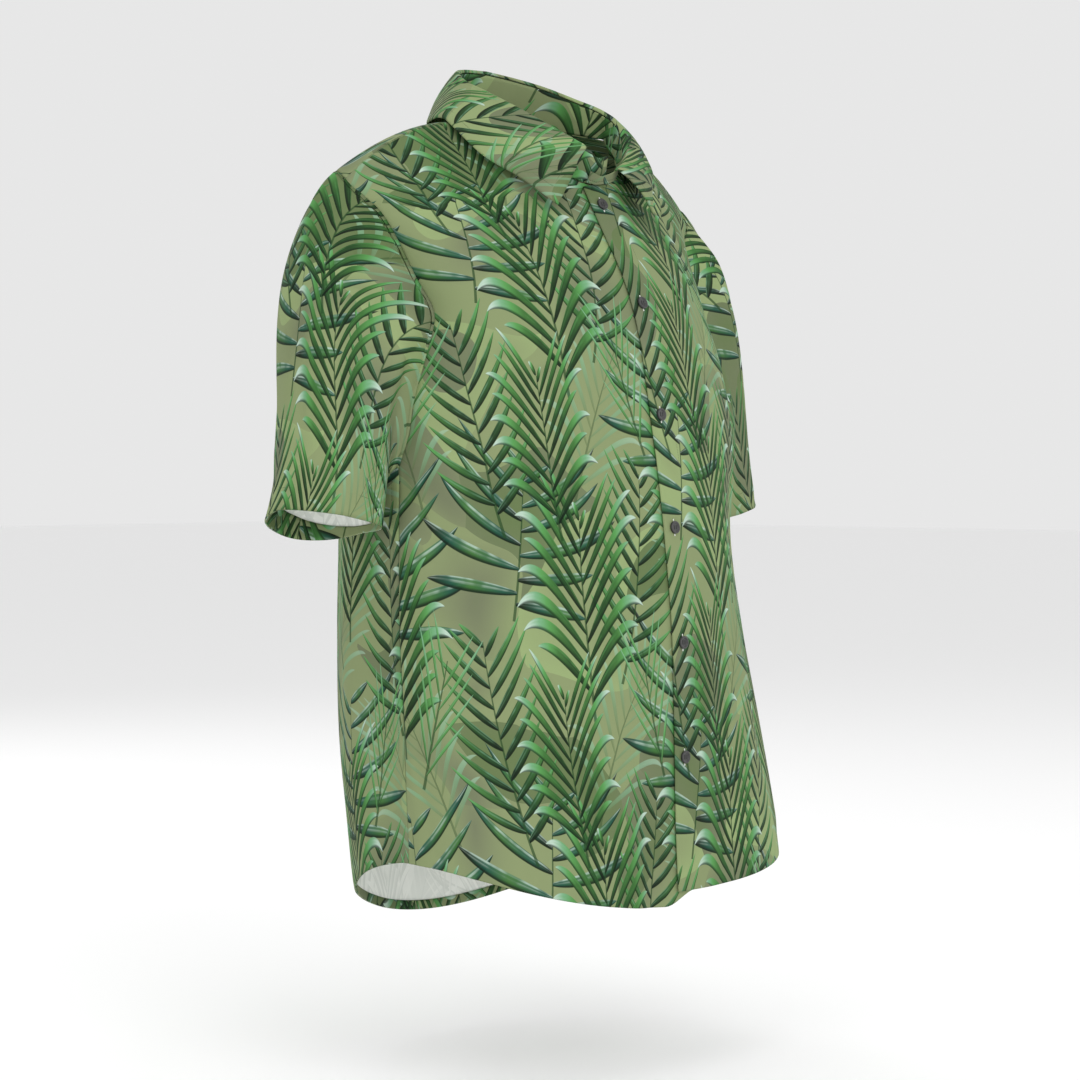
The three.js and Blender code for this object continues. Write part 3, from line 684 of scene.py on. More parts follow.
def sleeve(side):
    edge, normal, into, turn, in_front = armhole(side)
    flow = {key: np.where(in_front, smooth(SLEEVE_FLOW["front"], key, turn, at="turn"),
                          smooth(SLEEVE_FLOW["back"], key, turn, at="turn"))
            for key in ("outX", "outY", "outZ", "leave", "arrive", "slant")}
    flow = {key: blurred(values, RING_BLUR) for key, values in flow.items()}
    start = edge + normal * (UNDERARM_CLEAR * turn)[:, None]
    angle = turn * np.pi
    front = np.where(in_front, -1, 1)
    wide = np.where(turn < 0.5, CUFF["outward"], CUFF["inward"])
    lift = (np.where(turn < 0.5, CUFF_RISE["outward"], CUFF_RISE["inward"]) * np.cos(angle)
            + np.where(in_front, CUFF_RISE["front"], CUFF_RISE["back"]) * np.sin(angle))
    end = np.stack([side * (CUFF["x"] + wide * np.cos(angle)),
                    CUFF["y"] + front * CUFF["deep"] * np.sin(angle), CUFF["z"] + lift], -1)
    leave = np.stack([side * flow["outX"], flow["outY"], flow["outZ"]], -1)
    leave = leave - into * np.maximum((leave * into).sum(-1), 0)[:, None]
    leave = blurred(leave, RING_BLUR)
    axis = unit(np.stack([side * flow["slant"], 0 * turn, -np.ones_like(turn)], -1))
    first = start + unit(leave) * flow["leave"][:, None]
    second = end - axis * flow["arrive"][:, None]
    t = np.linspace(0, 1, SLEEVE_ROWS) ** ROW_CROWDING
    t = np.concatenate([t[:1], SEAM_SHARES, t[1:]])[:, None, None]
    grid = ((1 - t) ** 3 * start + 3 * (1 - t) ** 2 * t * first
            + 3 * (1 - t) * t ** 2 * second + t ** 3 * end)
    out = grid_normals(grid, closed=True)
    centre = grid.mean(axis=1, keepdims=True)
    if np.sum(out * (grid - centre)) < 0:
        out = -out
    down = run_lengths(grid, 0)
    ring = np.concatenate([grid, grid[:, :1]], 1)
    round_ring = run_lengths(ring, 1)
    share = round_ring[:, :-1] / round_ring[:, -1:] * SLEEVE_GIRTH
    from_hem = down[-1] - down
    height = fold_heights(SLEEVE_FOLDS, share, down, SLEEVE_GIRTH) * eased(down / FOLDS_START)
    height = height + pucker(share, from_hem - SLEEVE_HEM, side)
    dip = SEAM_DIP * np.exp(-(down / DIP_REACH) ** 2)
    grid = grid + out * height[..., None] - normal * dip[..., None]
    grid[0] = edge + into * SEAM_TUCK - normal * (SEAM_DEPTH - UNDERARM_CLEAR * turn)[:, None]
    mean_girth = round_ring[:, -1:].mean()
    u = side * round_ring * (mean_girth / round_ring[:, -1:])
    v = np.concatenate([from_hem, from_hem[:, :1]], 1)
    return {"grid": grid, "out": out, "flat": np.stack([u, v], -1), "from_hem": from_hem,
            "turned": down < SEAM_TURNING}


def closed_ring(grid):
    return np.concatenate([grid, grid[:, :1]], 1)


SLEEVES = {side: sleeve(side) for side in HANDS}
for side, hand in HANDS.items():
    part = SLEEVES[side]
    name = f"sleeve_{hand}"
    sheet = cloth_sheet(name, part["grid"], part["flat"] + PRINT_AT[name], CLOTH, part["out"],
                        closed=True, stitch=np.abs(part["from_hem"] - SLEEVE_HEM),
                        turned=part["turned"])
    wear(sheet, name)

# %% [markdown]
# The sleeve's hem is a wider band than the body's, and its printed side shows inside the open end.

# %% Turned hems of the sleeves
HEM_PRINT_AT = (35, 60)

for side, hand in HANDS.items():
    part = SLEEVES[side]
    name = f"sleeve_hem_{hand}"
    rows = np.where(part["from_hem"].mean(axis=1) <= SLEEVE_HEM + 2)[0]
    grid = part["grid"][rows] - part["out"][rows] * (CLOTH + BAND_GAP)
    flat = part["flat"][rows] * (1, -1) + HEM_PRINT_AT
    band = cloth_sheet(name, grid, flat, BAND_WALL, part["out"][rows], closed=True,
                       inside=PRINTED)
    wear(band, name)
    declare(closed_ring(part["grid"]))

# %% [markdown]
# The collar is a stand that rises from the neck edge and a fall that turns over it. Stations run
# round the neck from the centre back. Each one knows its place on the neck edge, the roll line that
# the fall turns over at, and the way out from the neck.

# %% Collar sizes
ROLL_LINE = table("at x y z", [
    [0, 0, 73, 53],
    [0.13, 34, 69, 51],
    [0.27, 59, 54, 45],
    [0.41, 76, 28, 33],
    [0.54, 79, 0, 21],
    [0.67, 70, -31, 4],
    [0.8, 48, -55, -15],
    [0.92, 20, -66, -29],
    [1, 0, -69, -36],
])
FALL_EDGE = table("at x y z", [
    [0, 0, 105, -8],
    [0.13, 43, 100, -12],
    [0.27, 78, 78, -5],
    [0.41, 104, 53, -5],
    [0.5, 121, 25, -4],
    [0.55, 127, 9, -7],
    [0.6, 129, -7, -18],
    [0.72, 119, -33, -43],
    [0.86, 93, -54, -62],
    [1, 68, -77, -86],
])
FALL_TURN = np.array([[0, 0.9], [0.3, 1.9], [1.0, 2.9], [2.2, 3.5], [3.4, 3.5], [4.4, 2.9], [5.0, 2.0]])
ROLL_LEAN = 4
FRONT_DIP = 17
FALL_END = 0.92
FALL_BULGE = 4
FALL_ROWS = 34
STATIONS = 76
STAND_TURN = 3
STAND_SEAT = 0.6
STAND_END = 1.05
STAND_ROWS = 16
STAND_STITCH = 3
EDGE_CREASE = 0.8
CREASE_REACH = 1.5
RIPPLE = 0.5
RIPPLE_SEED = 2
COLLAR_WALL = 1.2
COLLAR_STITCH = 11
LAYER = 2.4
DIP_FROM, DIP_SPAN = 0.6, 0.3
LAYER_FROM, LAYER_SPAN = 0.74, 0.2


# %% Stations of the collar
def neck_curve(side, steps=160):
    back_rows_up = np.linspace(NECK_ROW["back"], LAST_ROW["back"], steps)
    front_rows_down = np.linspace(LAST_ROW["front"], NECK_ROW["front"], steps)[1:]
    front = body_point("front", side, 0 * front_rows_down, front_rows_down)
    out = body_normal("front", side, 0 * front_rows_down + 0.02, front_rows_down)
    lift = lap_lift(np.abs(front[:, 0])) if side == LEFT else no_lift(front[:, 0])
    points = np.concatenate([body_point("back", side, 0 * back_rows_up, back_rows_up),
                             front + out * lift[:, None]])
    length = run_lengths(points[None], 1)[0]
    return points, length / length[-1]


NECK = {side: neck_curve(side) for side in HANDS}


def collar_station(side, at):
    at = np.asarray(at, float)
    folded = np.where(at > 1, 2 - at, at)
    hand = np.where(at > 1, -side, side)
    roll = np.stack([hand * smooth(ROLL_LINE, "x", folded, at="at"),
                     smooth(ROLL_LINE, "y", folded, at="at"),
                     smooth(ROLL_LINE, "z", folded, at="at")
                     - np.where(hand > 0, ROLL_LEAN * np.sin(folded * np.pi), 0)
                     - (FRONT_DIP * eased((at - DIP_FROM) / DIP_SPAN) if side == LEFT else 0)], -1)
    ahead, behind = np.minimum(folded + 0.01, 1), np.maximum(folded - 0.01, 0)
    run_x = smooth(ROLL_LINE, "x", ahead, at="at") - smooth(ROLL_LINE, "x", behind, at="at")
    run_y = smooth(ROLL_LINE, "y", ahead, at="at") - smooth(ROLL_LINE, "y", behind, at="at")
    out = unit(np.stack([-hand * run_y, run_x, 0 * run_x], -1))
    base = np.empty_like(roll)
    for which in HANDS:
        points, share = NECK[which]
        own = np.stack([np.interp(folded, share, points[:, k]) for k in range(3)], -1)
        base = np.where((hand == which)[..., None], own, base)
    lift = LAYER * eased((at - LAYER_FROM) / LAYER_SPAN) if side == LEFT else 0 * at
    roll = roll + out * lift[..., None]
    base = base + out * lift[..., None]
    rising = unit(roll - base)
    return base + rising * STAND_SEAT, roll, out, rising


# %% Stand of the collar
def both_sides(end):
    return ([(RIGHT, at) for at in np.linspace(end, 0, STATIONS)]
            + [(LEFT, at) for at in np.linspace(0, end, STATIONS)[1:]])


def stations(end, share=1.0):
    """Stations out to `end` on both sides, drawn in towards the centre back by `share`."""
    found = [collar_station(side, np.array([at * share])) for side, at in both_sides(end)]
    return [np.concatenate([one[k] for one in found]) for k in range(4)]


base, roll, out, rising = stations(STAND_END)
top = roll - rising * STAND_TURN
part = np.linspace(0, 1, STAND_ROWS)[:, None, None]
grid = base * (1 - part) + top * part + out * CLOTH / 2
around = run_lengths(grid, 1)
flat = np.stack([around - around[:, -1:] / 2, run_lengths(grid, 0)], -1) + PRINT_AT["collar_stand"]
collar_stand = cloth_sheet("collar_stand", grid, flat, CLOTH, np.broadcast_to(out, grid.shape),
                           stitch=np.abs(run_lengths(grid, 0) - STAND_STITCH), inside=PRINTED)
wear(collar_stand, "collar_stand")
declare(grid)

# %% Fall of the collar
_, roll, out, rising = stations(1.0, FALL_END)
top = roll - rising * STAND_TURN
turn_over = [top + out * away + rising * up for away, up in FALL_TURN]
signs = np.array([side for side, _ in both_sides(1.0)])
ats = np.array([at for _, at in both_sides(1.0)])
edge = np.stack([signs * smooth(FALL_EDGE, "x", ats, at="at"),
                 smooth(FALL_EDGE, "y", ats, at="at"),
                 smooth(FALL_EDGE, "z", ats, at="at")], -1)
away = unit(out + np.array([0, 0, 1.0]))
share = np.linspace(0, 1, FALL_ROWS)[1:, None, None]
leaf = turn_over[-1] * (1 - share) + edge * share + away * (FALL_BULGE * 4 * share * (1 - share))
grid = np.concatenate([np.stack(turn_over), leaf])
normals = grid_normals(grid)
if np.sum(normals[-1] * out) < 0:
    normals = -normals
down = run_lengths(grid, 0)
from_edge = np.minimum(down[-1] - down, np.minimum(run_lengths(grid, 1),
                                                    run_lengths(grid[:, ::-1], 1)[:, ::-1]))
ripple = RIPPLE * pucker(run_lengths(grid, 1) * 0.6, from_edge - COLLAR_STITCH, RIPPLE_SEED)
crease = EDGE_CREASE * np.exp(-(from_edge / CREASE_REACH) ** 2)
grid = grid + normals * (COLLAR_WALL / 2 + ripple - crease)[..., None]
around = run_lengths(grid, 1)
flat = np.stack([around - around[:, -1:] / 2, -down], -1) + PRINT_AT["collar_fall"]
collar_fall = cloth_sheet("collar_fall", grid, flat, COLLAR_WALL, normals,
                          stitch=np.abs(from_edge - COLLAR_STITCH), inside=PRINTED)
wear(collar_fall, "collar_fall")
declare(grid)

# %% [markdown]
# A shirt button is a small moulded disc: a raised rim, a shallow well and four holes for the thread.
# It is modelled once, as by hand: a cylinder whose front face is inset and pushed in for the well,
# whose edges are bevelled, and whose holes are cut by four thin cylinders with a Boolean modifier.

# %% One button
BUTTON_RADIUS = 5.8 * MM
BUTTON_THICK = 2.2 * MM
RIM = 1.7 * MM
RIM_SLOPE = 0.5 * MM
WELL = 0.75 * MM
SOFT_EDGE = 0.45 * MM
HOLE_RADIUS = 0.72 * MM
HOLE_OFF = 1.35 * MM


def button_blank():
    bpy.ops.object.select_all(action="DESELECT")
    bpy.ops.mesh.primitive_cylinder_add(vertices=48, radius=BUTTON_RADIUS, depth=BUTTON_THICK,
                                        location=(0, 0, BUTTON_THICK / 2))
    blank = bpy.context.active_object
    blank.name = "button"
    bpy.ops.object.mode_set(mode="EDIT")
    bpy.ops.mesh.select_all(action="DESELECT")
    bpy.ops.object.mode_set(mode="OBJECT")
    for face in blank.data.polygons:
        face.select = face.normal.z > 0.9
    bpy.ops.object.mode_set(mode="EDIT")
    bpy.ops.mesh.select_mode(type="FACE")
    bpy.ops.mesh.inset(thickness=RIM)
    bpy.ops.mesh.inset(thickness=RIM_SLOPE)
    bpy.ops.transform.translate(value=(0, 0, -WELL))
    bpy.ops.object.mode_set(mode="OBJECT")
    bpy.ops.object.transform_apply(location=True, rotation=True, scale=True)
    bevel = blank.modifiers.new("soft edges", "BEVEL")
    bevel.width = SOFT_EDGE
    bevel.segments = 3
    bevel.limit_method = "ANGLE"
    bevel.angle_limit = math.radians(25)
    bpy.ops.object.modifier_apply(modifier=bevel.name)
    return blank


def drill(blank):
    bpy.ops.object.select_all(action="DESELECT")
    bits = []
    for x in (-HOLE_OFF, HOLE_OFF):
        for y in (-HOLE_OFF, HOLE_OFF):
            bpy.ops.mesh.primitive_cylinder_add(vertices=20, radius=HOLE_RADIUS,
                                                depth=4 * BUTTON_THICK, location=(x, y, 0))
            bits.append(bpy.context.active_object)
    for bit in bits:
        bit.select_set(True)
    bpy.ops.object.join()
    bit = bpy.context.active_object
    only(blank)
    cut = blank.modifiers.new("thread holes", "BOOLEAN")
    cut.object = bit
    cut.operation = "DIFFERENCE"
    cut.solver = "EXACT"
    bpy.ops.object.modifier_apply(modifier=cut.name)
    bpy.data.objects.remove(bit)
    bpy.ops.object.shade_smooth_by_angle(angle=math.radians(35))
    return blank


button_model = drill(button_blank())
print("button faces:", len(button_model.data.polygons))

# %% [markdown]
# Each button is a copy with its own mesh. Its place comes from the node that it stands for, and its
# tilt from the cloth beneath. The thread that shows in the four holes and the white ends of the
# buttonhole above and below the button are small pieces of their own.

# %% Buttons on the placket
BUTTON_X = -3.5
TILT_STEPS = 400
BUTTONHOLE_HALF = 6.7 * MM
BUTTON_SEAT = 2.45 * MM
NEARLY_FLUSH = 0.1 * MM
THREAD_BAR = {"radius": 0.42 * MM, "half_length": 1.75 * MM, "flatten": 0.8}
TACK_BAR = {"radius": 0.7 * MM, "half_length": 1.1 * MM, "flatten": 0.45}
buttons, threads, buttonholes = [], [], []


def front_row_at(z):
    rows = np.linspace(NECK_ROW["front"], 0, TILT_STEPS)
    heights = body_point("front", LEFT, across_at("front", BUTTON_X, rows), rows)[:, 2]
    return float(np.interp(-z, -heights, rows))


def placed_copy(model, name, spot, normal):
    copy = bpy.data.objects.new(name, model.data.copy())
    bpy.context.scene.collection.objects.link(copy)
    turn = Vector(normal).to_track_quat("Z", "Y").to_matrix().to_4x4()
    turn.translation = Vector(spot)
    copy.data.transform(turn)
    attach(copy, "root")
    return copy


def bar_model(name, radius, half_length, flatten):
    """A short rounded bar along y, such as a bundle of thread."""
    bpy.ops.object.select_all(action="DESELECT")
    bpy.ops.mesh.primitive_cylinder_add(vertices=16, radius=radius, depth=2 * half_length,
                                        rotation=(math.pi / 2, 0, 0))
    bar = bpy.context.active_object
    bar.name = name
    bpy.ops.object.transform_apply(location=False, rotation=True, scale=False)
    ends = bar.modifiers.new("ends", "BEVEL")
    ends.width = radius * 0.6
    ends.segments = 3
    bpy.ops.object.modifier_apply(modifier="ends")
    bpy.ops.transform.resize(value=(1, 1, flatten))
    bpy.ops.object.transform_apply(location=False, rotation=False, scale=True)
    bpy.ops.object.shade_smooth()
    return bar


thread_bar = bar_model("thread", **THREAD_BAR)
tack_bar = bar_model("tack", **TACK_BAR)
for number in range(1, 7):
    node = f"button_{number}"
    low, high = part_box(node)
    middle = (np.array(low) + np.array(high)) / 2
    row = front_row_at(middle[2] / MM)
    across = float(across_at("front", BUTTON_X, row))
    normal = body_normal("front", LEFT, np.array(across), np.array(row))
    cloth = body_point("front", LEFT, across, row) * MM + normal * BUTTON_SEAT
    button = placed_copy(button_model, f"shirt_button_{number}", cloth, normal)
    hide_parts(node)
    buttons.append(button)
    side_way = unit(np.cross([0, 0, 1.0], normal))
    up_way = np.cross(normal, side_way)
    for k, shift in enumerate((-HOLE_OFF, HOLE_OFF)):
        spot = cloth + side_way * shift + normal * (BUTTON_THICK - WELL + NEARLY_FLUSH)
        threads.append(placed_copy(thread_bar, f"thread_{number}_{k + 1}", spot, normal))
    for k, shift in enumerate((-BUTTONHOLE_HALF, BUTTONHOLE_HALF)):
        spot = cloth + up_way * shift - normal * NEARLY_FLUSH
        tack = placed_copy(tack_bar, f"buttonhole_end_{number}_{k + 1}", spot, normal)
        buttonholes.append(tack)
for model in (button_model, thread_bar, tack_bar):
    bpy.data.objects.remove(model)
declare(left_front["grid"])
print("buttons:", len(buttons), "threads:", len(threads), "buttonhole ends:", len(buttonholes))

# %% [markdown]
# The print is drawn by the shader, from the flat coordinates of each panel. A small kit of helpers
# keeps its sums readable: each call adds one Math node, and takes numbers or sockets.

# %% Helpers for shader sums
def wire(tree, value, socket):
    if isinstance(value, bpy.types.NodeSocket):
        tree.links.new(value, socket)
    else:
        socket.default_value = value


def calc(tree, operation, *values):
    node = tree.nodes.new("ShaderNodeMath")
    node.operation = operation
    for value, socket in zip(values, node.inputs):
        wire(tree, value, socket)
    return node.outputs[0]


def ranged(tree, value, low, high, to_low=0.0, to_high=1.0):
    node = tree.nodes.new("ShaderNodeMapRange")
    node.interpolation_type = "SMOOTHSTEP"
    for socket, given in zip(node.inputs, (value, low, high, to_low, to_high)):
        wire(tree, given, socket)
    return node.outputs[0]


def mixed(tree, factor, under, over):
    node = tree.nodes.new("ShaderNodeMix")
    node.data_type = "RGBA"
    wire(tree, factor, node.inputs["Factor"])
    wire(tree, under, node.inputs[6])
    wire(tree, over, node.inputs[7])
    return node.outputs[2]


def ramp(tree, factor, *stops):
    node = tree.nodes.new("ShaderNodeValToRGB")
    elements = node.color_ramp.elements
    while len(elements) < len(stops):
        elements.new(0.5)
    for element, (place, colour) in zip(elements, stops):
        element.position = place
        element.color = (*colour, 1)
    wire(tree, factor, node.inputs[0])
    return node.outputs[0]


def noise(tree, place, scale, detail=2.0, roughness=0.5):
    node = tree.nodes.new("ShaderNodeTexNoise")
    wire(tree, place, node.inputs["Vector"])
    node.inputs["Scale"].default_value = scale
    node.inputs["Detail"].default_value = detail
    node.inputs["Roughness"].default_value = roughness
    return node.outputs["Fac"]


def new_group(name, inputs, outputs):
    tree = bpy.data.node_groups.new(name, "ShaderNodeTree")
    for title, kind in inputs:
        tree.interface.new_socket(title, in_out="INPUT", socket_type=f"NodeSocket{kind}")
    for title, kind in outputs:
        tree.interface.new_socket(title, in_out="OUTPUT", socket_type=f"NodeSocket{kind}")
    given = tree.nodes.new("NodeGroupInput").outputs
    result = tree.nodes.new("NodeGroupOutput").inputs
    return tree, given, result


def use_group(tree, group, **values):
    node = tree.nodes.new("ShaderNodeGroup")
    node.node_tree = group
    for title, value in values.items():
        wire(tree, value, node.inputs[title.replace("_", " ")])
    return node.outputs


# %% [markdown]
# A palm leaf is one stem with leaflets in step on both sides. Measured along the stem, every leaflet
# is the same shape, so one formula draws them all: fold the plane at the stem, slide each point back
# along the arch that the leaflets follow, and the place on the stem that it comes back to tells which
# leaflet it is on and how far from its middle. Lengths are in centimetres of cloth.

# %% Node group: a palm leaf
FROND_INPUTS = [("Place", "Vector"), ("Length", "Float"), ("Reach", "Float"), ("Pitch", "Float"),
                ("Rise", "Float"), ("Fan", "Float"), ("Droop", "Float"), ("Fat", "Float"),
                ("Bend", "Float"), ("Seed", "Float")]
FROND_OUTPUTS = [("Leaf", "Float"), ("Along", "Float"), ("Tone", "Float"), ("Across", "Float"),
                 ("Stem", "Float")]
ARCH = 2.6


def palm_leaf_group():
    tree, given, result = new_group("palm leaf", FROND_INPUTS, FROND_OUTPUTS)

    def sum_of(operation, *values):
        return calc(tree, operation, *values)

    split = tree.nodes.new("ShaderNodeSeparateXYZ")
    tree.links.new(given["Place"], split.inputs[0])
    up_stem = sum_of("DIVIDE", split.outputs["Y"], given["Length"])
    bend = sum_of("MULTIPLY", sum_of("MULTIPLY", up_stem, up_stem), given["Bend"])
    x = sum_of("SUBTRACT", split.outputs["X"], bend)
    out = sum_of("ABSOLUTE", x)
    hand = sum_of("GREATER_THAN", x, 0.0)
    reached = sum_of("DIVIDE", out, given["Reach"])
    climbed = sum_of("MULTIPLY", out, sum_of("MULTIPLY_ADD", given["Fan"], up_stem, given["Rise"]))
    drooped = sum_of("MULTIPLY", sum_of("POWER", reached, ARCH), given["Droop"])
    root = sum_of("ADD", sum_of("SUBTRACT", split.outputs["Y"], climbed), drooped)
    step = sum_of("ADD", sum_of("DIVIDE", root, given["Pitch"]), sum_of("MULTIPLY", hand, 0.45))
    which = sum_of("FLOOR", step)
    off = sum_of("SUBTRACT", sum_of("SUBTRACT", step, which), 0.5)
    root_at = sum_of("DIVIDE", sum_of("MULTIPLY", sum_of("ADD", which, 0.3), given["Pitch"]),
                     given["Length"])
    chance = tree.nodes.new("ShaderNodeTexWhiteNoise")
    chance.noise_dimensions = "2D"
    label = tree.nodes.new("ShaderNodeCombineXYZ")
    wire(tree, sum_of("ADD", which, sum_of("MULTIPLY", hand, 57.0)), label.inputs[0])
    wire(tree, given["Seed"], label.inputs[1])
    tree.links.new(label.outputs[0], chance.inputs["Vector"])
    tone = chance.outputs["Value"]
    shrink = sum_of("SQRT", sum_of("MAXIMUM", sum_of("SUBTRACT", 1.0, root_at), 0.0001))
    swell = sum_of("MULTIPLY_ADD", root_at, 0.75, 0.68)
    size = sum_of("MULTIPLY", sum_of("MULTIPLY", shrink, swell),
                  sum_of("MULTIPLY_ADD", tone, 0.3, 0.8))
    along = sum_of("DIVIDE", reached, size)
    left_over = sum_of("MAXIMUM", sum_of("SUBTRACT", 1.0, along), 0.0)
    belly = sum_of("MULTIPLY", sum_of("POWER", sum_of("ADD", along, 0.03), 0.55),
                   sum_of("POWER", left_over, 0.75))
    half = sum_of("MULTIPLY", sum_of("MULTIPLY", belly, 1.85), given["Fat"])
    wander = sum_of("MULTIPLY", sum_of("SUBTRACT", tone, 0.5), sum_of("MULTIPLY", along, 0.3))
    signed = sum_of("ADD", off, wander)
    off = sum_of("ABSOLUTE", signed)
    softness = sum_of("DIVIDE", 0.05, given["Pitch"])
    edge = sum_of("SUBTRACT", half, off)
    leaf = ranged(tree, edge, 0.0, softness)
    on_stem = sum_of("MULTIPLY", sum_of("GREATER_THAN", root_at, 0.0), sum_of("LESS_THAN", root_at, 1.0))
    leaf = sum_of("MULTIPLY", leaf, on_stem)
    place_across = sum_of("DIVIDE", signed, sum_of("ADD", half, 0.001))
    thin = sum_of("MULTIPLY_ADD", up_stem, -0.09, 0.13)
    stem = ranged(tree, sum_of("SUBTRACT", thin, out), -0.02, 0.03)
    in_span = sum_of("MULTIPLY", sum_of("GREATER_THAN", up_stem, -0.12),
                     sum_of("LESS_THAN", up_stem, 1.0))
    for title, socket in (("Leaf", leaf), ("Along", along), ("Tone", tone), ("Across", place_across),
                          ("Stem", sum_of("MULTIPLY", stem, in_span))):
        tree.links.new(socket, result[title])
    return tree


PALM_LEAF = palm_leaf_group()
print("nodes in the palm leaf:", len(PALM_LEAF.nodes))

# %% [markdown]
# A printed cloth repeats. Here the repeat is a half drop, which means that every second column of
# motifs is moved down by half a repeat. This group takes a place on the cloth to the nearest copy of
# one motif, turned and sized, so a motif may be nearly as big as the repeat and is never cut off.

# %% Node group: place of one motif in the repeat
REPEAT_WIDE = 30.5
REPEAT_HIGH = 29.0


def motif_place_group():
    tree, given, result = new_group(
        "half drop", [("Cloth", "Vector"), ("X", "Float"), ("Y", "Float"), ("Turn", "Float"),
                      ("Size", "Float"), ("Length", "Float")], [("Place", "Vector")])
    split = tree.nodes.new("ShaderNodeSeparateXYZ")
    tree.links.new(given["Cloth"], split.inputs[0])
    across = calc(tree, "DIVIDE", calc(tree, "SUBTRACT", split.outputs["X"], given["X"]), REPEAT_WIDE)
    column = calc(tree, "ROUND", across)
    x = calc(tree, "MULTIPLY", calc(tree, "SUBTRACT", across, column), REPEAT_WIDE)
    up = calc(tree, "DIVIDE", calc(tree, "SUBTRACT", split.outputs["Y"], given["Y"]), REPEAT_HIGH)
    up = calc(tree, "ADD", up, calc(tree, "MULTIPLY", column, 0.5))
    y = calc(tree, "MULTIPLY", calc(tree, "SUBTRACT", up, calc(tree, "ROUND", up)), REPEAT_HIGH)
    local = tree.nodes.new("ShaderNodeCombineXYZ")
    wire(tree, x, local.inputs[0])
    wire(tree, y, local.inputs[1])
    rotate = tree.nodes.new("ShaderNodeVectorRotate")
    rotate.rotation_type = "Z_AXIS"
    tree.links.new(local.outputs[0], rotate.inputs["Vector"])
    wire(tree, calc(tree, "MULTIPLY", given["Turn"], -1.0), rotate.inputs["Angle"])
    parts = tree.nodes.new("ShaderNodeSeparateXYZ")
    tree.links.new(rotate.outputs[0], parts.inputs[0])
    sized = tree.nodes.new("ShaderNodeCombineXYZ")
    wire(tree, calc(tree, "DIVIDE", parts.outputs["X"], given["Size"]), sized.inputs[0])
    height = calc(tree, "DIVIDE", parts.outputs["Y"], given["Size"])
    wire(tree, calc(tree, "MULTIPLY_ADD", given["Length"], 0.5, height), sized.inputs[1])
    tree.links.new(sized.outputs[0], result["Place"])
    return tree


HALF_DROP = motif_place_group()

# %% [markdown]
# The print has four kinds of palm leaf: dense upright plumes with pale arching tips, open fronds with
# spaced leaflets, broad leaflets that lie almost level and have a whitish sheen, and thin bright
# blades. They lie over a sage ground with soft patches of lighter green, olive and taupe. The layout
# below is this scene's own.

# %% Kinds of leaf and their colours
INK = {
    "night": (0.005, 0.011, 0.006),
    "deep": (0.016, 0.054, 0.016),
    "leaf": (0.044, 0.138, 0.034),
    "grass": (0.085, 0.272, 0.075),
    "teal": (0.013, 0.076, 0.048),
    "mint": (0.165, 0.350, 0.200),
    "pale": (0.320, 0.465, 0.345),
    "chalk": (0.420, 0.545, 0.455),
    "sage": (0.208, 0.254, 0.122),
    "light": (0.250, 0.325, 0.145),
    "olive": (0.114, 0.160, 0.066),
    "taupe": (0.148, 0.170, 0.098),
}
KINDS = {
    "plume": {"Length": 14.0, "Reach": 6.8, "Pitch": 1.5, "Rise": 1.25, "Fan": 0.9, "Droop": 9.5,
              "Fat": 0.42},
    "frond": {"Length": 17.0, "Reach": 6.2, "Pitch": 1.75, "Rise": 0.65, "Fan": 0.55, "Droop": -1.5,
              "Fat": 0.32},
    "broad": {"Length": 12.5, "Reach": 11.5, "Pitch": 2.3, "Rise": -0.04, "Fan": 0.8, "Droop": 0.3,
              "Fat": 0.27},
    "blade": {"Length": 9.0, "Reach": 3.2, "Pitch": 1.7, "Rise": 2.2, "Fan": 0.6, "Droop": 1.2,
              "Fat": 0.24},
    "faint": {"Length": 13.0, "Reach": 7.0, "Pitch": 1.5, "Rise": 1.2, "Fan": 0.7, "Droop": 8.0,
              "Fat": 0.26},
}
LEAF_COLOURS = {
    "plume": [(0.0, "night"), (0.32, "deep"), (0.54, "leaf"), (0.68, "grass"), (0.82, "mint"),
              (0.96, "chalk")],
    "frond": [(0.0, "night"), (0.35, "deep"), (0.65, "leaf"), (0.95, "grass")],
    "broad": [(0.0, "night"), (0.25, "teal"), (0.6, "leaf"), (0.8, "teal"), (1.0, "night")],
    "blade": [(0.0, "leaf"), (0.5, "grass"), (1.0, "mint")],
    "faint": [(0.0, "olive"), (0.5, "mint"), (1.0, "pale")],
}
LIT_COLOUR = {"plume": "grass", "frond": "mint", "broad": "chalk", "blade": "pale", "faint": "pale"}
LIT_STRENGTH = {"plume": 0.4, "frond": 0.5, "broad": 0.7, "blade": 0.4, "faint": 0.2}
SHADE_STRENGTH = {"plume": 0.8, "frond": 0.85, "broad": 0.9, "blade": 0.5, "faint": 0.1}
STREAKS = 8.0
COVER = {"plume": 0.97, "frond": 0.97, "broad": 0.97, "blade": 0.95, "faint": 0.6}

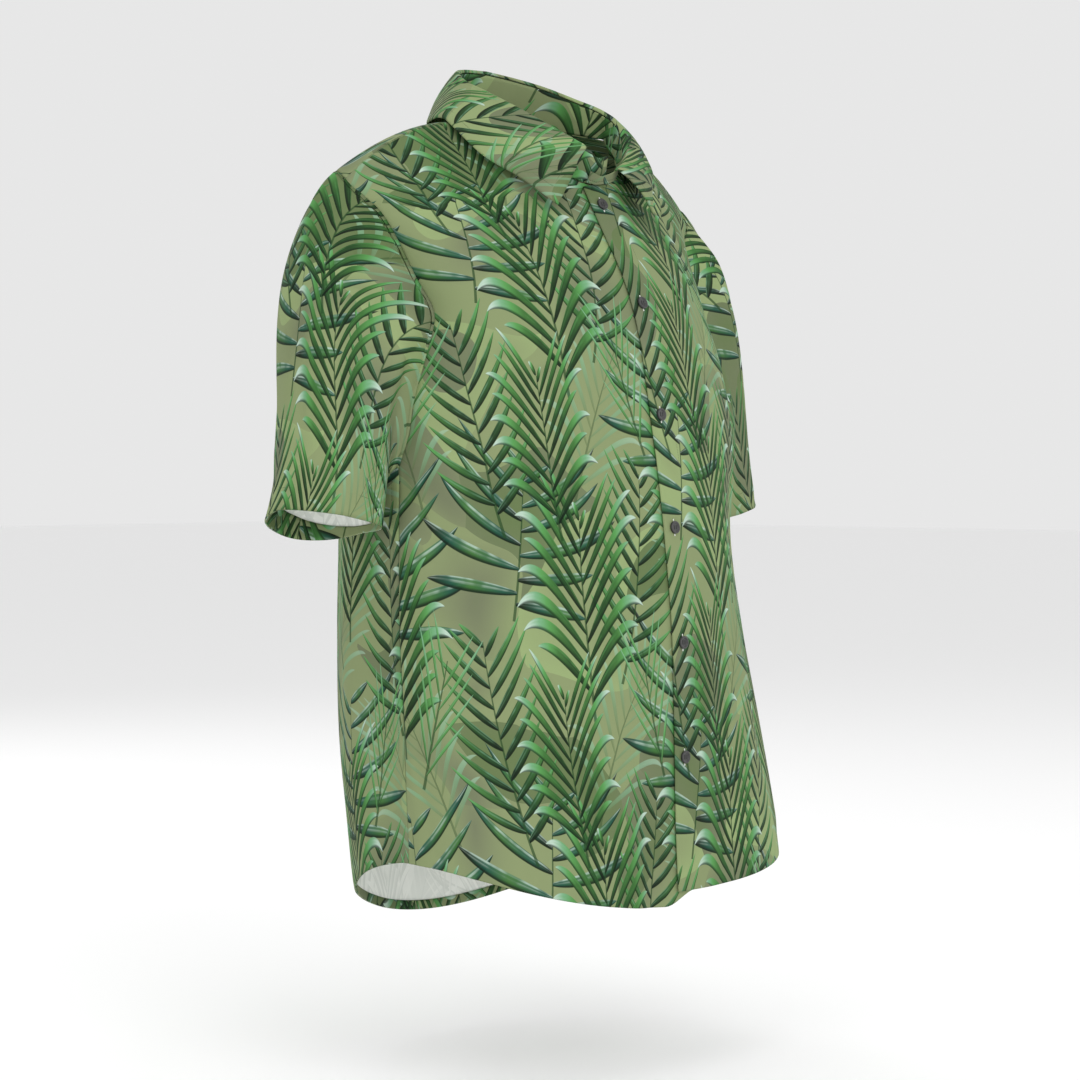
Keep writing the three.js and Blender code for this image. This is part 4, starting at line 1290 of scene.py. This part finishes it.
# %% Layout of the print
LAYOUT = [
    ("faint", -1.5, 8.5, -0.3, 1.05, 1.6, 11),
    ("faint", 11.0, -7.5, 0.25, 1.0, -1.4, 12),
    ("broad", 7.5, 9.5, 0.12, 1.0, 1.0, 21),
    ("broad", -9.0, -2.5, -0.2, 0.95, -0.8, 22),
    ("frond", 2.5, -5.5, -0.28, 1.0, -1.8, 31),
    ("frond", -13.0, 8.5, 0.22, 1.05, 1.5, 32),
    ("plume", -4.0, -9.0, 0.05, 1.15, 0.7, 41),
    ("plume", 9.0, 1.5, -0.08, 1.05, -0.8, 42),
    ("plume", -6.5, 5.5, 0.14, 0.95, 1.0, 43),
    ("blade", 2.5, 11.0, 0.25, 1.15, 0.6, 51),
    ("blade", 12.5, -4.0, -0.4, 1.2, -0.7, 52),
]
PATCH_SIZE = 9.5


# %% Node group: the whole print
def ink_stops(kind):
    return [(place, INK[ink]) for place, ink in LEAF_COLOURS[kind]]


def ground_colour(tree, cloth):
    """Soft patches of sage, lighter green, olive and taupe, each with one edge that fades."""
    drift = tree.nodes.new("ShaderNodeTexNoise")
    drift.inputs["Scale"].default_value = 0.09
    drift.inputs["Detail"].default_value = 0.0
    wire(tree, cloth, drift.inputs["Vector"])
    push = tree.nodes.new("ShaderNodeVectorMath")
    push.operation = "MULTIPLY_ADD"
    wire(tree, drift.outputs["Color"], push.inputs[0])
    push.inputs[1].default_value = (22.0, 22.0, 0.0)
    wire(tree, cloth, push.inputs[2])
    cells = tree.nodes.new("ShaderNodeTexVoronoi")
    cells.voronoi_dimensions = "2D"
    cells.inputs["Scale"].default_value = 1 / PATCH_SIZE
    wire(tree, push.outputs[0], cells.inputs["Vector"])
    tone = tree.nodes.new("ShaderNodeSeparateColor")
    wire(tree, cells.outputs["Color"], tone.inputs[0])
    fade = calc(tree, "MULTIPLY_ADD", cells.outputs["Distance"], 0.3, -0.1)
    return ramp(tree, calc(tree, "ADD", tone.outputs[0], fade),
                (0.1, INK["olive"]), (0.34, INK["taupe"]), (0.5, INK["sage"]), (0.82, INK["sage"]),
                (1.0, INK["light"]))


def palm_print_group():
    tree, given, result = new_group("palm print", [("Cut", "Vector")], [("Colour", "Color")])
    scale = tree.nodes.new("ShaderNodeVectorMath")
    scale.operation = "SCALE"
    scale.inputs["Scale"].default_value = 100.0
    tree.links.new(given["Cut"], scale.inputs[0])
    cloth = scale.outputs[0]
    colour = ground_colour(tree, cloth)
    brush = ranged(tree, noise(tree, cloth, 0.7, 1.0), 0.35, 0.6, 0.25, 1.0)
    for kind, x, y, turn, size, bend, seed in LAYOUT:
        shape = KINDS[kind]
        place = use_group(tree, HALF_DROP, Cloth=cloth, X=x, Y=y, Turn=turn, Size=size,
                          Length=shape["Length"])["Place"]
        leaf = use_group(tree, PALM_LEAF, Place=place, Bend=bend, Seed=float(seed), **shape)
        spread = calc(tree, "MULTIPLY_ADD", leaf["Tone"], 0.3,
                      calc(tree, "MULTIPLY_ADD", leaf["Along"], 0.95, -0.14))
        ink = ramp(tree, spread, *ink_stops(kind))
        streak = calc(tree, "SINE", calc(tree, "MULTIPLY_ADD", leaf["Across"], STREAKS,
                                         calc(tree, "MULTIPLY", leaf["Tone"], STREAKS)))
        lit = calc(tree, "MULTIPLY", ranged(tree, leaf["Across"], -0.3, 0.7), brush)
        lit = calc(tree, "MULTIPLY", lit, ranged(tree, streak, -0.7, 0.6, 0.15, 1.0))
        ink = mixed(tree, calc(tree, "MULTIPLY", lit, LIT_STRENGTH[kind]), ink,
                    (*INK[LIT_COLOUR[kind]], 1))
        shade = ranged(tree, leaf["Across"], -0.2, -0.75)
        ink = mixed(tree, calc(tree, "MULTIPLY", shade, SHADE_STRENGTH[kind]), ink,
                    (*INK["night"], 1))
        colour = mixed(tree, calc(tree, "MULTIPLY", leaf["Stem"], COVER[kind] * 0.8), colour,
                       (*INK["deep"], 1))
        colour = mixed(tree, calc(tree, "MULTIPLY", leaf["Leaf"], COVER[kind]), colour, ink)
    tree.links.new(colour, result["Colour"])
    return tree


PALM_PRINT = palm_print_group()
print("leaves in one repeat:", len(LAYOUT))

# %% [markdown]
# The cloth itself is a fine plain weave, light and soft. Its threads are too small to see one by one,
# so they only break up the shine a little. A line of stitches sinks the cloth and is a touch darker
# than the print. Each sheet carries its distance to the nearest line in millimetres.

# %% Node group: weave and stitches
WARP = 6800.0
WEFT = 6200.0
STITCHES = 2600.0
SLUBS = 240.0


def weave_group():
    tree, given, result = new_group("weave and stitches", [("Cut", "Vector"), ("Distance", "Float")],
                                    [("Weave", "Float"), ("Thread", "Float"), ("Height", "Float")])
    split = tree.nodes.new("ShaderNodeSeparateXYZ")
    tree.links.new(given["Cut"], split.inputs[0])
    warp = calc(tree, "SINE", calc(tree, "MULTIPLY", split.outputs["X"], WARP))
    weft = calc(tree, "SINE", calc(tree, "MULTIPLY", split.outputs["Y"], WEFT))
    weave = calc(tree, "MULTIPLY_ADD", calc(tree, "MULTIPLY", warp, weft), 0.5, 0.5)
    run = calc(tree, "MULTIPLY", calc(tree, "ADD", split.outputs["X"], split.outputs["Y"]), STITCHES)
    dash = ranged(tree, calc(tree, "SINE", run), -0.75, -0.35)
    line = calc(tree, "SUBTRACT", 1.0, ranged(tree, given["Distance"], 0.3, 0.65))
    thread = calc(tree, "MULTIPLY", line, dash)
    groove = calc(tree, "SUBTRACT", 1.0, ranged(tree, given["Distance"], 0.2, 1.8))
    slub = noise(tree, given["Cut"], SLUBS, 3.0)
    height = calc(tree, "MULTIPLY_ADD", weave, 0.05, calc(tree, "MULTIPLY", slub, 0.16))
    height = calc(tree, "SUBTRACT", height, calc(tree, "MULTIPLY", groove, 0.7))
    height = calc(tree, "MULTIPLY_ADD", thread, 0.35, height)
    for title, socket in (("Weave", weave), ("Thread", thread), ("Height", height)):
        tree.links.new(socket, result[title])
    return tree


WEAVE = weave_group()


# %% Cloth materials
STITCH_COLOUR = (0.045, 0.075, 0.035)


def attribute(tree, name):
    node = tree.nodes.new("ShaderNodeAttribute")
    node.attribute_name = name
    return node.outputs["Fac"]


def flat_place(tree):
    node = tree.nodes.new("ShaderNodeUVMap")
    node.uv_map = "cut"
    return node.outputs[0]


def bumped(tree, height, distance, strength, normal_input):
    bump = tree.nodes.new("ShaderNodeBump")
    bump.inputs["Strength"].default_value = strength
    bump.inputs["Distance"].default_value = distance
    tree.links.new(height, bump.inputs["Height"])
    tree.links.new(bump.outputs[0], normal_input)


def surface_of(material):
    material.use_nodes = True
    tree = material.node_tree
    return tree, tree.nodes["Principled BSDF"]


def new_material(name):
    material = bpy.data.materials.new(name)
    return material, *surface_of(material)


def printed_cloth():
    tree, surface = surface_of(PRINTED)
    place = flat_place(tree)
    colour = use_group(tree, PALM_PRINT, Cut=place)["Colour"]
    weave = use_group(tree, WEAVE, Cut=place, Distance=attribute(tree, "stitch"))
    colour = mixed(tree, calc(tree, "MULTIPLY", weave["Thread"], 0.55), colour, (*STITCH_COLOUR, 1))
    tree.links.new(colour, surface.inputs["Base Color"])
    tree.links.new(ranged(tree, weave["Weave"], 0.0, 1.0, 0.66, 0.74), surface.inputs["Roughness"])
    surface.inputs["Specular IOR Level"].default_value = 0.08
    bumped(tree, weave["Height"], 0.4 * MM, 0.6, surface.inputs["Normal"])


def inside_cloth():
    tree, surface = surface_of(INSIDE)
    place = flat_place(tree)
    shown = use_group(tree, PALM_PRINT, Cut=place)["Colour"]
    grey = tree.nodes.new("ShaderNodeRGBToBW")
    tree.links.new(shown, grey.inputs[0])
    through = ranged(tree, grey.outputs[0], 0.02, 0.3)
    colour = mixed(tree, through, (0.72, 0.75, 0.70, 1), (0.88, 0.90, 0.85, 1))
    weave = use_group(tree, WEAVE, Cut=place, Distance=attribute(tree, "stitch"))
    tree.links.new(colour, surface.inputs["Base Color"])
    tree.links.new(ranged(tree, weave["Weave"], 0.0, 1.0, 0.78, 0.86), surface.inputs["Roughness"])
    surface.inputs["Specular IOR Level"].default_value = 0.2
    bumped(tree, weave["Height"], 0.4 * MM, 0.5, surface.inputs["Normal"])


printed_cloth()
inside_cloth()

# %% [markdown]
# The buttons are charcoal plastic with a soft shine and faint mottling, and their thread is dark. The
# ends of the buttonholes are white thread.

# %% Button and thread materials
def button_plastic():
    material, tree, surface = new_material("charcoal button")
    place = tree.nodes.new("ShaderNodeTexCoord").outputs["Object"]
    cloud = noise(tree, place, 420.0, 3.0)
    tree.links.new(ramp(tree, cloud, (0.3, (0.016, 0.016, 0.016)), (0.75, (0.036, 0.035, 0.034))),
                   surface.inputs["Base Color"])
    tree.links.new(ranged(tree, cloud, 0.2, 0.8, 0.3, 0.42), surface.inputs["Roughness"])
    bumped(tree, noise(tree, place, 2400.0, 2.0), 0.05 * MM, 0.25, surface.inputs["Normal"])
    return material


def thread_material(name, colour):
    material, tree, surface = new_material(name)
    place = tree.nodes.new("ShaderNodeTexCoord").outputs["Object"]
    twist = noise(tree, place, 2600.0, 2.0)
    shade = tuple(0.72 * value for value in colour)
    tree.links.new(ramp(tree, twist, (0.3, shade), (0.7, colour)), surface.inputs["Base Color"])
    surface.inputs["Roughness"].default_value = 0.7
    bumped(tree, twist, 0.1 * MM, 0.5, surface.inputs["Normal"])
    return material


BUTTON_PLASTIC = button_plastic()
DARK_THREAD = thread_material("dark thread", (0.03, 0.034, 0.03))
WHITE_THREAD = thread_material("buttonhole thread", (0.74, 0.76, 0.70))
for group, material in ((buttons, BUTTON_PLASTIC), (threads, DARK_THREAD), (buttonholes, WHITE_THREAD)):
    for piece in group:
        piece.data.materials.clear()
        piece.data.materials.append(material)

# %% [markdown]
# The shirt hangs in the air over a plain pale floor, as if someone wore it. Large soft lights from
# the front, the side and above give the even light of a product picture. The camera stands level with
# the chest, turned to the wearer's right front, far enough away that the shirt is hardly foreshortened.

# %% Floor and light
FLOOR_DROP = 0.12
FLOOR_SIZE = 40
LIGHTS = [
    ("key light", (-1.0, -3.0, 1.6), 2.4, 34),
    ("side light", (-3.0, -0.4, 0.6), 2.2, 15),
    ("fill light", (2.6, -2.2, 0.4), 2.4, 14),
    ("back light", (0.6, 3.0, 1.4), 2.2, 20),
    ("top light", (0, -0.4, 3.0), 2.6, 14),
    ("low light", (-1.3, -1.5, -0.83), 1.2, 7),
]
LIT_MIDDLE = Vector((0, 0, -0.38))


def floor():
    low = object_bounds()[0][2] - FLOOR_DROP
    bpy.ops.object.select_all(action="DESELECT")
    bpy.ops.mesh.primitive_plane_add(size=FLOOR_SIZE, location=(0, 0, low))
    ground = bpy.context.active_object
    ground.name = "floor"
    material, tree, surface = new_material("pale floor")
    surface.inputs["Base Color"].default_value = (0.96, 0.96, 0.96, 1)
    surface.inputs["Roughness"].default_value = 0.8
    ground.data.materials.append(material)
    ground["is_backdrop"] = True


def soft_light(name, place, size, watts):
    data = bpy.data.lights.new(name, "AREA")
    data.shape = "DISK"
    data.size = size
    data.energy = watts
    lamp = bpy.data.objects.new(name, data)
    bpy.context.scene.collection.objects.link(lamp)
    lamp.location = place
    aim = LIT_MIDDLE - Vector(place)
    lamp.rotation_euler = aim.to_track_quat("-Z", "Y").to_euler()


floor()
for light in LIGHTS:
    soft_light(*light)
world = bpy.data.worlds.new("studio")
bpy.context.scene.world = world
world.use_nodes = True
world.node_tree.nodes["Background"].inputs[0].default_value = (1, 1, 1, 1)
world.node_tree.nodes["Background"].inputs[1].default_value = 0.8
bpy.context.scene.view_settings.view_transform = "Standard"

# %% Camera
TURN = math.radians(-48)
TILT = math.radians(1.4)
DISTANCE = 2.890
AIM_RIGHT = -0.0047
AIM_HEIGHT = -0.393
lens = bpy.data.cameras.new("camera")
lens.angle = math.radians(20)
lens.clip_end = 40
camera = bpy.data.objects.new("camera", lens)
bpy.context.scene.collection.objects.link(camera)
aim = Vector((AIM_RIGHT * math.cos(TURN), AIM_RIGHT * math.sin(TURN), AIM_HEIGHT))
away = Vector((math.sin(TURN) * math.cos(TILT), -math.cos(TURN) * math.cos(TILT), math.sin(TILT)))
camera.location = aim + away * DISTANCE
camera.rotation_euler = (-away).to_track_quat("-Z", "Y").to_euler()
bpy.context.scene.camera = camera
